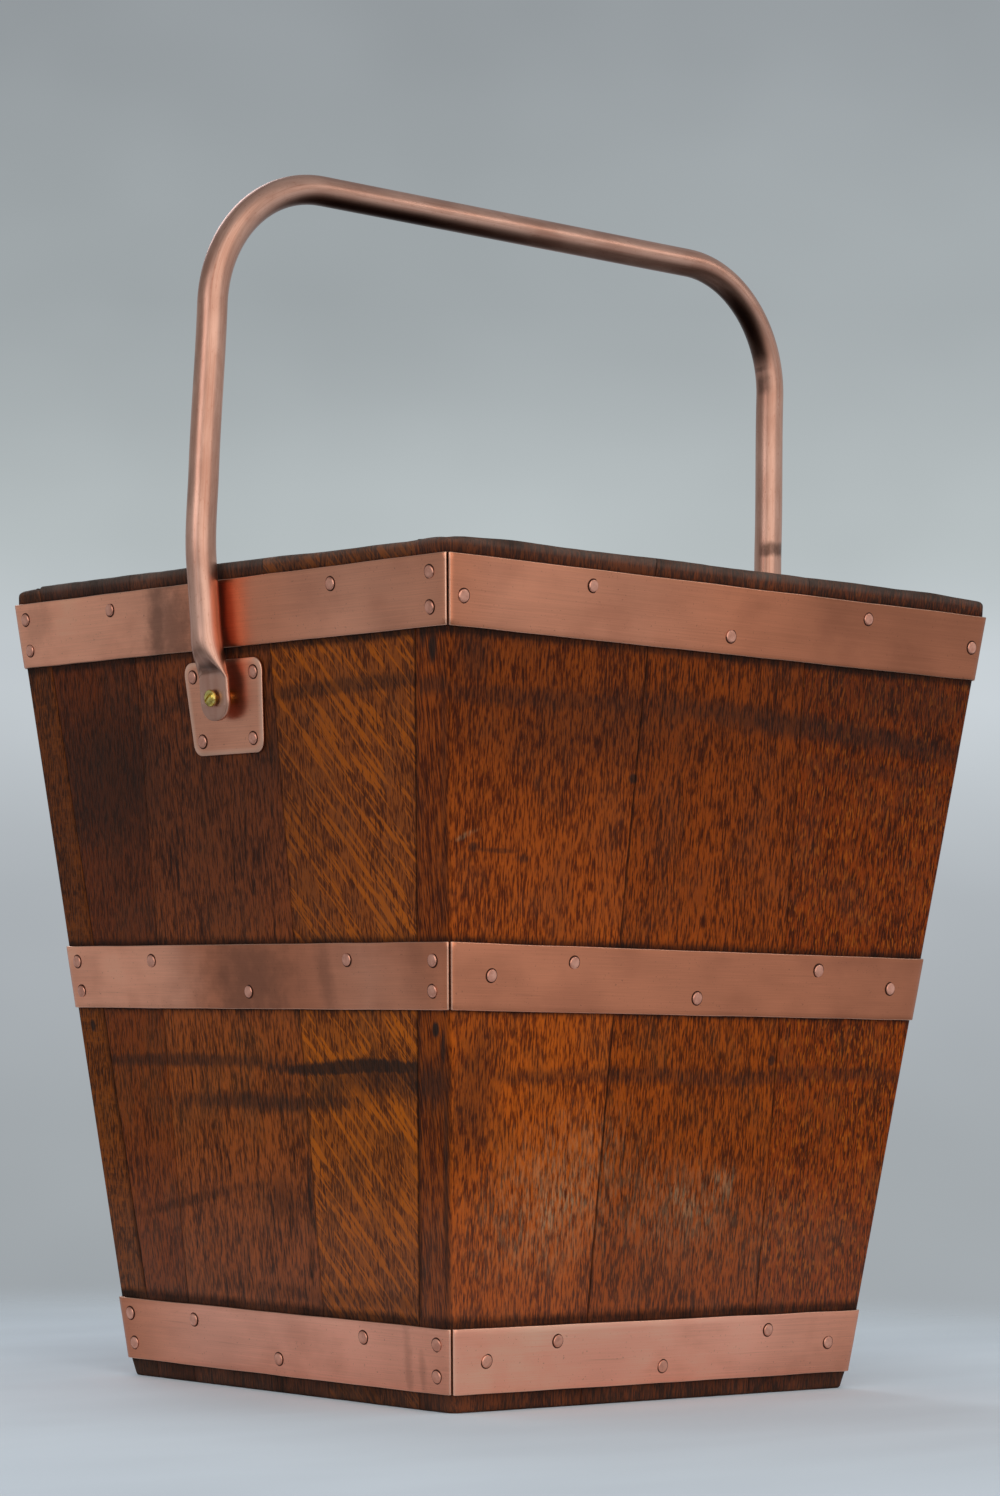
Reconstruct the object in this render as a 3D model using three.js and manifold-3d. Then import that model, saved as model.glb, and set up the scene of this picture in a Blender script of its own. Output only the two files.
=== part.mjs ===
// Oak coal bucket bound with copper strips, with a swinging bail of copper tube.
// Millimetres, +Z up, origin on the ground under the middle of the bucket.
// The plain walls face -Y and +Y, the walls that carry the bail face -X and +X.
import * as THREE from "three";
import { mergeVertices } from "three/addons/utils/BufferGeometryUtils.js";
import Module from "manifold-3d";

const wasm = await Module();
wasm.setup();

// Bucket, measured over the wood
const bucketHeight = 400;
const topWidth = 366;
const topDepth = 344;
const baseWidth = 262;
const baseDepth = 250;
const boardThickness = 23;
const jointGap = 0.3;
const rimRadius = 3;
const footEase = 1.5;
const arrisRadius = 2.5;

// Floor boards, housed in a groove round the walls
const floorThickness = 20;
const floorLift = 14;
const grooveDepth = 7;
const grooveGap = 0.3;

// Copper strips, one a face at each of three levels
const seatGap = 0.3;
const stripThickness = 1.2;
const stripBevel = 0.25;
const stripOverhang = 0.1;
const rimStripDrop = 7;
const rimStripHeight = 33;
const middleStripLift = 186;
const middleStripHeight = 31.5;
const footStripLift = 8.5;
const footStripHeight = 31;

// Copper nails
const nailHeadDiameter = 6;
const nailHeadHeight = 0.9;
const nailShankDiameter = 2.2;
const nailLength = 16;
const nailPointLength = 3;
const nailHoleGap = 0.3;
const nailHoleMouth = 1;
const sideEndNailInset = 9;
const rimEndNailInset = 8;
const middleEndNailInset = 22;
const footEndNailInset = 20;

// Bearing plates of the bail
const plateTopWidth = 62;
const plateFootWidth = 54;
const plateHeight = 45.5;
const plateThickness = 1.2;
const plateCornerRadius = 6;
const plateDrop = 5.5;
const plateNailInset = 7;

// Bail, bent from copper tube whose ends are pressed flat
const tubeDiameter = 15;
const tabThickness = 2.4;
const tabStandOff = 7.1;
const neckStart = 9;
const neckEnd = 36;
const pivotDrop = 64.3;
const bailRise = 256;
const bendRadius = 65.5;
const legClearance = 0.8;
const legSplay = 0.8;
const splayHeight = 45;
const shoulderTuck = 1.1;
const bailLean = THREE.MathUtils.degToRad(1.3);
const bailSwing = THREE.MathUtils.degToRad(143);

// Pivot screws with their bushes, washers and nuts
const screwDiameter = 4.8;
const screwHeadDiameter = 8.4;
const screwHeadHeight = 2.6;
const screwSlotWidth = 1.1;
const screwSlotDepth = 1.1;
const screwSlotAngle = THREE.MathUtils.degToRad(35);
const screwTailLength = 1.6;
const screwChamfer = 0.6;
const boreGap = 0.3;
const boreOvershoot = 2;
const runningGap = 0.2;
const bushDiameter = 8;
const washerDiameter = 14;
const washerThickness = 1.2;
const nutAcrossFlats = 8.8;
const nutThickness = 4;

// Board seams, as shares of the half breadth of the wall at its foot and at its rim
const frontSeamShares = [
  { foot: -0.385, rim: -0.284 },
  { foot: 0.473, rim: 0.284 },
];
const sideSeamShares = [
  { foot: -0.57, rim: -0.413 },
  { foot: 0.28, rim: 0.21 },
];
const floorSeamShares = [-0.36, 0.3];

// Nail places, as shares of a strip's height and of the wall's half breadth
const highNailShare = 0.75;
const middleNailShare = 0.5;
const lowNailShare = 0.27;
const frontHighNailShare = 0.52;
const sideHighNailShare = 0.515;

// Domes of the heads, as shares of their radius and of their height over the seat
const nailHeadShares = [
  { radius: 1, height: 0.55 },
  { radius: 0.7, height: 1 },
];
const screwHeadShares = [
  { radius: 1, height: 0.25 },
  { radius: 0.87, height: 0.65 },
  { radius: 0.5, height: 0.93 },
];

// Facets
const roundSteps = 3;
const plateCornerSteps = 5;
const nailHeadSides = 10;
const nailShankSides = 6;
const screwSides = 20;
const tubeSides = 20;
const tabEndSteps = 7;
const neckSteps = 8;
const legSteps = 8;
const bendSteps = 9;

const quarterTurn = Math.PI / 2;
const { lerp, smoothstep } = THREE.MathUtils;

// Walls

// Each wall is drawn facing -Y and then turned round Z. `reach` is its outer face's distance from
// the axis and `half` its half breadth over the corners, both at a height above the ground.
// The side walls stand between the front and back walls, which cover their edges.
const sideSlope = (topWidth - baseWidth) / 2 / bucketHeight;
const frontSlope = (topDepth - baseDepth) / 2 / bucketHeight;
const halfWidthAt = (z) => baseWidth / 2 + sideSlope * z;
const halfDepthAt = (z) => baseDepth / 2 + frontSlope * z;

const plainWall = {
  slope: frontSlope,
  reach: halfDepthAt,
  half: halfWidthAt,
  between: false,
  seamShares: frontSeamShares,
};
const bailWall = {
  slope: sideSlope,
  reach: halfWidthAt,
  half: halfDepthAt,
  between: true,
  seamShares: sideSeamShares,
};
const walls = [
  { ...plainWall, name: "front", turn: 0, boards: ["left", "middle", "right"] },
  { ...plainWall, name: "back", turn: 2 * quarterTurn, boards: ["right", "middle", "left"] },
  { ...bailWall, name: "left", turn: -quarterTurn, boards: ["back", "middle", "front"] },
  { ...bailWall, name: "right", turn: quarterTurn, boards: ["front", "middle", "back"] },
];

const stripLevels = [
  {
    name: "rim",
    low: bucketHeight - rimStripDrop - rimStripHeight,
    height: rimStripHeight,
    endInset: rimEndNailInset,
  },
  {
    name: "middle",
    low: middleStripLift,
    height: middleStripHeight,
    endInset: middleEndNailInset,
  },
  {
    name: "foot",
    low: footStripLift,
    height: footStripHeight,
    endInset: footEndNailInset,
  },
];

// A board's thickness measured level, across its slope.
const levelThickness = (slope) => boardThickness / Math.cos(Math.atan(slope));

// Height above the ground turned into distance up a wall's face.
const upFace = (wall, z) => z / Math.cos(Math.atan(wall.slope));

// Materials

function oak(color) {
  return new THREE.MeshStandardMaterial({ color, roughness: 0.45, metalness: 0 });
}

function metal(color, roughness) {
  return new THREE.MeshStandardMaterial({ color, roughness, metalness: 1 });
}

const wallOak = () => oak(0x5c2e16);
const floorOak = () => oak(0x38241a);
const sheetCopper = () => metal(0xb87a62, 0.4);
const tubeCopper = () => metal(0xbf8068, 0.3);
const brass = () => metal(0xc8a648, 0.3);

// Solids

function solidOf(geometry, matrix = new THREE.Matrix4()) {
  const bare = new THREE.BufferGeometry();
  bare.setAttribute("position", geometry.getAttribute("position").clone());
  if (geometry.index) bare.setIndex(geometry.index.clone());
  const merged = mergeVertices(bare.applyMatrix4(matrix));
  return new wasm.Manifold(
    new wasm.Mesh({
      numProp: 3,
      vertProperties: merged.attributes.position.array,
      triVerts: new Uint32Array(merged.index.array),
    }),
  );
}

function geometryOf(solid) {
  const { vertProperties, triVerts } = solid.getMesh();
  const geometry = new THREE.BufferGeometry();
  geometry.setAttribute("position", new THREE.BufferAttribute(vertProperties, 3));
  geometry.setIndex(new THREE.BufferAttribute(triVerts, 1));
  geometry.computeVertexNormals();
  return geometry;
}

function piece(name, geometry, material) {
  const mesh = new THREE.Mesh(geometry, material);
  mesh.name = name;
  return mesh;
}

// A closed skin over rings of equal count, wound anticlockwise seen from the last ring's side.
function loft(rings) {
  const count = rings[0].length;
  const faces = [];
  for (let r = 0; r + 1 < rings.length; r++) {
    for (let i = 0; i < count; i++) {
      const a = r * count + i;
      const b = r * count + ((i + 1) % count);
      faces.push(a, b, b + count, a, b + count, a + count);
    }
  }
  const last = (rings.length - 1) * count;
  for (let i = 1; i + 1 < count; i++) {
    faces.push(0, i + 1, i, last, last + i, last + i + 1);
  }
  const geometry = new THREE.BufferGeometry().setFromPoints(rings.flat());
  geometry.setIndex(faces);
  geometry.computeVertexNormals();
  return geometry;
}

// A turned piece along Z, from its profile's points of radius and height.
function turned(profile, sides) {
  const points = profile.map(([radius, height]) => new THREE.Vector2(radius, height));
  return new THREE.LatheGeometry(points, sides).rotateX(quarterTurn);
}

// A plain rod from one height to another.
function rod(radius, low, high, sides) {
  return turned([[0, low], [radius, low], [radius, high], [0, high]], sides);
}

// A collar with the screw's bore through it.
function collar(diameter, low, height) {
  const bore = screwDiameter / 2 + boreGap;
  const high = low + height;
  const outer = diameter / 2;
  return turned([[bore, low], [outer, low], [outer, high], [bore, high], [bore, low]], screwSides);
}

// A head from its underside up over its dome.
function headProfile(shares, diameter, height, seat, underside) {
  const radius = diameter / 2;
  const dome = shares.map((share) => [share.radius * radius, seat + share.height * height]);
  return [[radius, underside], ...dome, [0, seat + height]];
}

// Wall boards

// Half breadth that a wall's boards fill.
function boardHalf(wall, z) {
  return wall.between ? wall.half(z) - levelThickness(frontSlope) - jointGap : wall.half(z);
}

function seamAt(wall, index, z) {
  const share = wall.seamShares[index];
  return lerp(share.foot, share.rim, z / bucketHeight) * wall.half(z);
}

// A board ends at the wall's free corner, at the next wall, or at a seam.
function boardSpan(wall, index) {
  const last = index === wall.seamShares.length;
  return {
    start: (z) => (index === 0 ? -boardHalf(wall, z) : seamAt(wall, index - 1, z) + jointGap / 2),
    end: (z) => (last ? boardHalf(wall, z) : seamAt(wall, index, z) - jointGap / 2),
    freeStart: !wall.between && index === 0,
    freeEnd: !wall.between && last,
  };
}

// One corner of a board's section: an arc on a free arris of the bucket, else a point. `inward`
// is the way along the wall from the corner into the board.
function sectionCorner(x, y, z, free, inward, fromAngle) {
  if (!free) return [new THREE.Vector3(x, y, z)];
  const points = [];
  for (let i = 0; i <= roundSteps; i++) {
    const angle = fromAngle + (i / roundSteps) * quarterTurn;
    const alongX = arrisRadius * (inward + Math.cos(angle));
    const alongY = arrisRadius * (1 + Math.sin(angle));
    points.push(new THREE.Vector3(x + alongX, y + alongY, z));
  }
  return points;
}

function boardSection(wall, span, z, ease) {
  const outer = ease - wall.reach(z);
  const inner = levelThickness(wall.slope) - ease - wall.reach(z);
  const start = span.start(z) + (span.freeStart ? ease : 0);
  const end = span.end(z) - (span.freeEnd ? ease : 0);
  return [
    ...sectionCorner(start, outer, z, span.freeStart, 1, 2 * quarterTurn),
    ...sectionCorner(end, outer, z, span.freeEnd, -1, -quarterTurn),
    new THREE.Vector3(end, inner, z),
    new THREE.Vector3(start, inner, z),
  ];
}

// The foot is chamfered and the rim worn round.
function boardGeometry(wall, index) {
  const span = boardSpan(wall, index);
  const sections = [
    boardSection(wall, span, 0, footEase),
    boardSection(wall, span, footEase, 0),
  ];
  for (let i = 0; i <= roundSteps; i++) {
    const angle = (i / roundSteps) * quarterTurn;
    const z = bucketHeight - rimRadius * (1 - Math.sin(angle));
    sections.push(boardSection(wall, span, z, rimRadius * (1 - Math.cos(angle))));
  }
  return loft(sections);
}

// Floor

// The floor's edge follows the slope of the walls into their groove.
function floorSection(z, grow, low, high) {
  const x = halfWidthAt(z) - levelThickness(sideSlope) + grooveDepth + grow;
  const y = halfDepthAt(z) - levelThickness(frontSlope) + grooveDepth + grow;
  const front = low ?? -y;
  const back = high ?? y;
  return [
    new THREE.Vector3(-x, front, z),
    new THREE.Vector3(x, front, z),
    new THREE.Vector3(x, back, z),
    new THREE.Vector3(-x, back, z),
  ];
}

function floorSlab(grow, low, high) {
  return loft([
    floorSection(floorLift - grow, grow, low, high),
    floorSection(floorLift + floorThickness + grow, grow, low, high),
  ]);
}

function floorBoards() {
  const seams = floorSeamShares.map((share) => (share * baseDepth) / 2);
  return ["front", "middle", "back"].map((name, i) => {
    const low = i === 0 ? undefined : seams[i - 1] + jointGap / 2;
    const high = i === seams.length ? undefined : seams[i] - jointGap / 2;
    return piece("floor_board_" + name, floorSlab(0, low, high), floorOak());
  });
}

// Copper nails

const sheetSeat = seatGap + stripThickness;
const plateSeat = seatGap + plateThickness;

// A nail driven down from a sheet whose outer face stands at `seat` over the wood.
function nailSolid(seat, underside) {
  const shank = nailShankDiameter / 2;
  const tip = seat - nailLength;
  const head = headProfile(nailHeadShares, nailHeadDiameter, nailHeadHeight, seat, underside);
  const body = turned(
    [[0, tip], [shank, tip + nailPointLength], [shank, seat + nailHeadHeight / 2], [0, seat + nailHeadHeight / 2]],
    nailShankSides,
  );
  return solidOf(turned([[0, underside], ...head], nailHeadSides)).add(solidOf(body));
}

// The hole that takes a nail's shank.
function nailHole(seat) {
  const radius = nailShankDiameter / 2 + nailHoleGap;
  const tip = seat - nailLength - nailHoleGap;
  const mouth = seat + nailHoleMouth;
  return turned(
    [[0, tip], [radius, tip + nailPointLength], [radius, mouth], [0, mouth]],
    nailShankSides,
  );
}

function nailPlace(wall, nail) {
  return new THREE.Matrix4().makeTranslation(nail.x, upFace(wall, nail.z), 0);
}

// Copper strips

// A strip's nails: x along the face, z above the ground.
function stripNails(wall, level) {
  const high = level.low + level.height * highNailShare;
  const middle = level.low + level.height * middleNailShare;
  const low = level.low + level.height * lowNailShare;
  const nails = [];
  for (const end of [-1, 1]) {
    if (wall.between) {
      nails.push({ x: end * (wall.half(high) - sideEndNailInset), z: high });
      nails.push({ x: end * (wall.half(low) - sideEndNailInset), z: low });
      nails.push({ x: end * wall.half(high) * sideHighNailShare, z: high });
    } else {
      nails.push({ x: end * (wall.half(middle) - level.endInset), z: middle });
      nails.push({ x: end * wall.half(high) * frontHighNailShare, z: high });
    }
  }
  // The bail's leg stands close over the middle of the side rim strips, so no nail is set there.
  const behindLeg = wall.between && level.name === "rim";
  if (!behindLeg) nails.push({ x: 0, z: low });
  return nails;
}

// A strip is cut to the taper of its wall and its edges are eased.
function stripSheet(wall, level) {
  const low = upFace(wall, level.low) + stripBevel;
  const high = upFace(wall, level.low + level.height) - stripBevel;
  const lowHalf = wall.half(level.low) + stripOverhang - stripBevel;
  const highHalf = wall.half(level.low + level.height) + stripOverhang - stripBevel;
  const outline = new THREE.Shape([
    new THREE.Vector2(-lowHalf, low),
    new THREE.Vector2(lowHalf, low),
    new THREE.Vector2(highHalf, high),
    new THREE.Vector2(-highHalf, high),
  ]);
  const sheet = new THREE.ExtrudeGeometry(outline, {
    depth: stripThickness - 2 * stripBevel,
    bevelSize: stripBevel,
    bevelThickness: stripBevel,
    bevelSegments: 1,
  });
  return sheet.translate(0, 0, seatGap + stripBevel);
}

// A strip and the nails driven through it make one body.
function nailedStrip(wall, level) {
  let solid = solidOf(stripSheet(wall, level));
  for (const nail of stripNails(wall, level)) {
    const place = nailPlace(wall, nail);
    solid = solid.add(nailSolid(sheetSeat, sheetSeat - stripBevel).transform(place.elements));
  }
  return piece(wall.name + "_" + level.name + "_strip", geometryOf(solid), sheetCopper());
}

// Bearing plates

const plateTop = bucketHeight - rimStripDrop - rimStripHeight - plateDrop;
const plateFoot = plateTop - plateHeight;

// A convex outline, wound anticlockwise, with each corner turned into an arc.
function roundedOutline(corners, radius) {
  const points = [];
  corners.forEach((corner, i) => {
    const before = corners.at(i - 1).clone().sub(corner).normalize();
    const after = corners[(i + 1) % corners.length].clone().sub(corner).normalize();
    const halfAngle = Math.acos(before.dot(after)) / 2;
    const inward = before.add(after).normalize();
    const centre = corner.clone().addScaledVector(inward, radius / Math.sin(halfAngle));
    const sweep = 2 * (quarterTurn - halfAngle);
    const outward = Math.atan2(-inward.y, -inward.x);
    for (let k = 0; k <= plateCornerSteps; k++) {
      const angle = outward - sweep / 2 + (k / plateCornerSteps) * sweep;
      const arc = new THREE.Vector2(Math.cos(angle), Math.sin(angle));
      points.push(arc.multiplyScalar(radius).add(centre));
    }
  });
  return points;
}

function plateNails(wall) {
  const nails = [];
  for (const end of [-1, 1]) {
    const board = wall.boards.at(end < 0 ? 0 : -1);
    const high = plateTop - plateNailInset;
    const low = plateFoot + plateNailInset;
    nails.push({ name: "top_" + board, x: end * (plateTopWidth / 2 - plateNailInset), z: high });
    nails.push({ name: "foot_" + board, x: end * (plateFootWidth / 2 - plateNailInset), z: low });
  }
  return nails;
}

function bearingPlate(wall) {
  const low = upFace(wall, plateFoot);
  const high = upFace(wall, plateTop);
  const corners = [
    new THREE.Vector2(-plateFootWidth / 2, low),
    new THREE.Vector2(plateFootWidth / 2, low),
    new THREE.Vector2(plateTopWidth / 2, high),
    new THREE.Vector2(-plateTopWidth / 2, high),
  ];
  const outline = new THREE.Shape(roundedOutline(corners, plateCornerRadius));
  const sheet = new THREE.ExtrudeGeometry(outline, { depth: plateThickness, bevelEnabled: false });
  let solid = solidOf(sheet.translate(0, 0, seatGap)).subtract(screwBore());
  for (const nail of plateNails(wall)) {
    solid = solid.subtract(solidOf(nailHole(plateSeat), nailPlace(wall, nail)));
  }
  return piece(wall.name + "_bearing_plate", geometryOf(solid), sheetCopper());
}

function plateNailPieces(wall) {
  return plateNails(wall).map((nail) => {
    const geometry = geometryOf(nailSolid(plateSeat, plateSeat + seatGap));
    const mesh = piece(wall.name + "_plate_nail_" + nail.name, geometry, sheetCopper());
    mesh.position.set(nail.x, upFace(wall, nail.z), 0);
    return mesh;
  });
}

// Pivot of the bail

// The bail turns about the line through the middles of its two tabs. Each tab lies parallel to its
// sloping wall at rest and its screw stands square to the wall, so as the bail swings the tab
// rocks on the screw by up to this angle.
const sideTilt = Math.atan(sideSlope);
const rockAngle = 2 * Math.asin(Math.sin(sideTilt) * Math.sin(bailSwing / 2));
const pivotZ = bucketHeight - pivotDrop;
const pivotX = halfWidthAt(pivotZ) + tabStandOff / Math.cos(sideTilt);
const tabHoleRadius =
  (tabThickness / 2) * Math.tan(rockAngle) + screwDiameter / 2 / Math.cos(rockAngle) + runningGap;

// Room between the tab at rest and a flat of this diameter round the screw.
function rockRoom(diameter) {
  const swungHalf = tabThickness / 2 / Math.cos(rockAngle);
  return (diameter / 2) * Math.tan(rockAngle) + swungHalf - tabThickness / 2 + runningGap;
}

// How far up the face the screw's line meets it, so that it passes through the pivot.
const screwRise = (pivotZ + tabStandOff * Math.sin(sideTilt)) / Math.cos(sideTilt);
const headSeat = tabStandOff + tabThickness / 2 + rockRoom(screwHeadDiameter);
const bushFoot = plateSeat + seatGap;
const bushTop = tabStandOff - tabThickness / 2 - rockRoom(bushDiameter);
const washerLow = -boardThickness - seatGap - washerThickness;
const nutLow = washerLow - seatGap - nutThickness;

function screwBore() {
  const low = -boardThickness - boreOvershoot;
  const bore = rod(screwDiameter / 2 + boreGap, low, plateSeat + boreOvershoot, screwSides);
  return solidOf(bore.translate(0, screwRise, 0));
}

function pivotScrew() {
  const radius = screwDiameter / 2;
  const tail = nutLow - screwTailLength;
  const top = headSeat + screwHeadHeight;
  const head = headProfile(screwHeadShares, screwHeadDiameter, screwHeadHeight, headSeat, headSeat);
  const shank = [[0, tail], [radius - screwChamfer, tail], [radius, tail + screwChamfer], [radius, headSeat]];
  const slot = new THREE.BoxGeometry(2 * screwHeadDiameter, screwSlotWidth, 2 * screwSlotDepth);
  slot.rotateZ(screwSlotAngle).translate(0, 0, top);
  return geometryOf(solidOf(turned([...shank, ...head], screwSides)).subtract(solidOf(slot)));
}

function hexagonNut() {
  const outline = new THREE.Shape();
  const corner = nutAcrossFlats / 2 / Math.cos(Math.PI / 6);
  for (let i = 0; i < 6; i++) {
    const angle = (i / 3) * Math.PI;
    const to = i === 0 ? "moveTo" : "lineTo";
    outline[to](corner * Math.cos(angle), corner * Math.sin(angle));
  }
  const bore = new THREE.Path().absarc(0, 0, screwDiameter / 2 + boreGap, 0, 4 * quarterTurn);
  outline.holes.push(bore);
  const options = { depth: nutThickness, bevelEnabled: false, curveSegments: screwSides };
  return new THREE.ExtrudeGeometry(outline, options).translate(0, 0, nutLow);
}

function pivotPieces(wall) {
  const pieces = [
    piece(wall.name + "_pivot_screw", pivotScrew(), brass()),
    piece(wall.name + "_pivot_bush", collar(bushDiameter, bushFoot, bushTop - bushFoot), brass()),
    piece(wall.name + "_pivot_washer", collar(washerDiameter, washerLow, washerThickness), brass()),
    piece(wall.name + "_pivot_nut", hexagonNut(), brass()),
  ];
  for (const mesh of pieces) mesh.position.y = screwRise;
  return pieces;
}

// Bail

// Drawn about its pivot, with the right leg's centre line given as x against height.
const rimLegX =
  halfWidthAt(bucketHeight) + (sheetSeat + legClearance + tubeDiameter / 2) / Math.cos(sideTilt);
const shoulderX = rimLegX - shoulderTuck;
const bendHeight = bailRise - bendRadius;
const tangentStep = tubeDiameter / 50;

// The pressed tube keeps its girth, so its breadth grows as its thickness shrinks.
const breadthAt = (thickness) => thickness + (Math.PI / 2) * (tubeDiameter - thickness);

// How far the tube has come back from flat to round: 0 on the tab, 1 above the neck. It rises
// steeply off the tab and runs out gently.
function roundness(height) {
  const share = THREE.MathUtils.clamp((height - neckStart) / (neckEnd - neckStart), 0, 1);
  return share * (2 - share);
}

function legX(height) {
  if (height <= pivotDrop) {
    const tab = pivotX + sideSlope * height;
    const leg = rimLegX - sideSlope * (pivotDrop - height);
    return lerp(tab, leg, roundness(height));
  }
  const splayTop = pivotDrop + splayHeight;
  const splayX = rimLegX + legSplay;
  if (height <= splayTop) {
    const share = (height - pivotDrop) / splayHeight;
    const drift = sideSlope * splayHeight * share * (1 - share) ** 2;
    return lerp(rimLegX, splayX, smoothstep(height, pivotDrop, splayTop)) + drift;
  }
  return lerp(splayX, shoulderX, smoothstep(height, splayTop, bendHeight));
}

function legStation(height) {
  const run = legX(height + tangentStep) - legX(height - tangentStep);
  const thickness = lerp(tabThickness, tubeDiameter, roundness(height));
  return {
    centre: new THREE.Vector2(legX(height), height),
    along: new THREE.Vector2(run, 2 * tangentStep).normalize(),
    breadth: breadthAt(thickness),
    thickness,
  };
}

function legStations() {
  const stations = [];
  const tabRadius = breadthAt(tabThickness) / 2;
  for (let i = 1; i <= tabEndSteps; i++) {
    const angle = (i / tabEndSteps) * quarterTurn;
    const station = legStation(-tabRadius * Math.cos(angle));
    stations.push({ ...station, breadth: 2 * tabRadius * Math.sin(angle) });
  }
  for (let i = 0; i <= neckSteps; i++) {
    stations.push(legStation(lerp(neckStart, neckEnd, i / neckSteps)));
  }
  for (let i = 1; i <= legSteps; i++) {
    stations.push(legStation(lerp(neckEnd, bendHeight, i / legSteps)));
  }
  for (let i = 1; i <= bendSteps; i++) {
    const angle = (i / bendSteps) * quarterTurn;
    const out = new THREE.Vector2(Math.cos(angle), Math.sin(angle));
    stations.push({
      centre: new THREE.Vector2(shoulderX - bendRadius, bendHeight).addScaledVector(out, bendRadius),
      along: new THREE.Vector2(-out.y, out.x),
      breadth: tubeDiameter,
      thickness: tubeDiameter,
    });
  }
  return stations;
}

// The same station on the left leg, passed on the way down.
function mirrored({ centre, along, breadth, thickness }) {
  return {
    centre: new THREE.Vector2(-centre.x, centre.y),
    along: new THREE.Vector2(along.x, -along.y),
    breadth,
    thickness,
  };
}

// Two half rounds joined by flats, square to the tube's line.
function tubeRing({ centre, along, breadth, thickness }) {
  const ring = [];
  for (let i = 0; i < tubeSides; i++) {
    const angle = ((i + 0.5) / tubeSides) * 4 * quarterTurn;
    const flat = (Math.sign(Math.cos(angle)) * (breadth - thickness)) / 2;
    const across = flat + (thickness / 2) * Math.cos(angle);
    const out = (thickness / 2) * Math.sin(angle);
    ring.push(new THREE.Vector3(centre.x - along.y * out, across, centre.y + along.x * out));
  }
  return ring;
}

// The hole through one tab, square to it.
function tabHole(side) {
  const depth = tabThickness / 2 + boreOvershoot;
  const hole = rod(tabHoleRadius, -depth, depth, screwSides);
  return solidOf(hole.rotateY(side * (quarterTurn + sideTilt)).translate(side * pivotX, 0, 0));
}

function bail() {
  const leg = legStations();
  const stations = [...leg, ...leg.map(mirrored).reverse()];
  const solid = solidOf(loft(stations.map(tubeRing)));
  const drilled = solid.subtract(tabHole(1)).subtract(tabHole(-1));
  const mesh = piece("bail", geometryOf(drilled), tubeCopper());
  mesh.position.z = pivotZ;
  mesh.rotation.x = bailLean;
  return mesh;
}

// Assembly

function faceGroup(wall) {
  const face = new THREE.Group();
  face.position.y = -wall.reach(0);
  face.rotation.x = quarterTurn + Math.atan(wall.slope);
  for (const level of stripLevels) face.add(nailedStrip(wall, level));
  if (wall.between) face.add(bearingPlate(wall), ...plateNailPieces(wall), ...pivotPieces(wall));
  return face;
}

// What the walls' fittings and the floor take out of the wood, over the whole bucket.
function woodCuts() {
  const cuts = [solidOf(floorSlab(grooveGap))];
  for (const wall of walls) {
    const face = new THREE.Matrix4().makeTranslation(0, -wall.reach(0), 0);
    face.multiply(new THREE.Matrix4().makeRotationX(quarterTurn + Math.atan(wall.slope)));
    face.premultiply(new THREE.Matrix4().makeRotationZ(wall.turn));
    const nails = stripLevels.flatMap((level) => stripNails(wall, level));
    const holes = nails.map((nail) => solidOf(nailHole(sheetSeat), nailPlace(wall, nail)));
    if (wall.between) {
      holes.push(screwBore());
      for (const nail of plateNails(wall)) {
        holes.push(solidOf(nailHole(plateSeat), nailPlace(wall, nail)));
      }
    }
    for (const hole of holes) cuts.push(hole.transform(face.elements));
  }
  return wasm.Manifold.union(cuts);
}

function wallGroup(wall, cuts) {
  const group = new THREE.Group();
  group.rotation.z = wall.turn;
  const wallCuts = cuts.transform(new THREE.Matrix4().makeRotationZ(-wall.turn).elements);
  wall.boards.forEach((name, i) => {
    const board = solidOf(boardGeometry(wall, i)).subtract(wallCuts);
    group.add(piece(wall.name + "_board_" + name, geometryOf(board), wallOak()));
  });
  group.add(faceGroup(wall));
  return group;
}

function coalBucket() {
  const group = new THREE.Group();
  const cuts = woodCuts();
  for (const wall of walls) group.add(wallGroup(wall, cuts));
  group.add(...floorBoards(), bail());
  return group;
}

const bucket = coalBucket();
export default bucket;
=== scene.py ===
import math

import bmesh
import bpy
from mathutils import Matrix, Vector, noise


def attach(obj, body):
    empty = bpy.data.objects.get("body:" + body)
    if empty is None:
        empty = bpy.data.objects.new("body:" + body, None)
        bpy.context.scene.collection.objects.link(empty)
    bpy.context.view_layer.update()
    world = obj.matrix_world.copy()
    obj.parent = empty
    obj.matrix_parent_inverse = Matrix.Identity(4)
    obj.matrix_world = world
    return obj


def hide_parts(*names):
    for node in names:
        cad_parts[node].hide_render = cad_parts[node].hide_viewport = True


# Oak coal bucket bound with copper strips. Lengths in the dictionaries are in millimetres.
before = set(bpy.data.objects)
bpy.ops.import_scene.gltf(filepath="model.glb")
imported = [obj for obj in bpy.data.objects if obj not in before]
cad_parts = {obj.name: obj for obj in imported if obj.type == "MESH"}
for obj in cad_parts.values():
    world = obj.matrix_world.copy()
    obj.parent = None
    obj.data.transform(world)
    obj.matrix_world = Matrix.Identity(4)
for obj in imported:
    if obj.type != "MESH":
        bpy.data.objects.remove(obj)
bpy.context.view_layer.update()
scene = bpy.context.scene
mm = 0.001
upright = (0, 0, 1)


def lerp(a, b, share):
    return a + (b - a) * share


def clamp(value, low=0.0, high=1.0):
    return max(low, min(high, value))


def smooth(low, high, value):
    share = clamp((value - low) / (high - low))
    return share * share * (3 - 2 * share)


def linear(code):
    # '8a4b2f' as linear red, green, blue
    parts = [int(code[i:i + 2], 16) / 255 for i in (0, 2, 4)]
    return [p / 12.92 if p <= 0.04045 else ((p + 0.055) / 1.055) ** 2.4 for p in parts]


def rgba(code, gain=1.0):
    return [p * gain for p in linear(code)] + [1.0]


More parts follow.
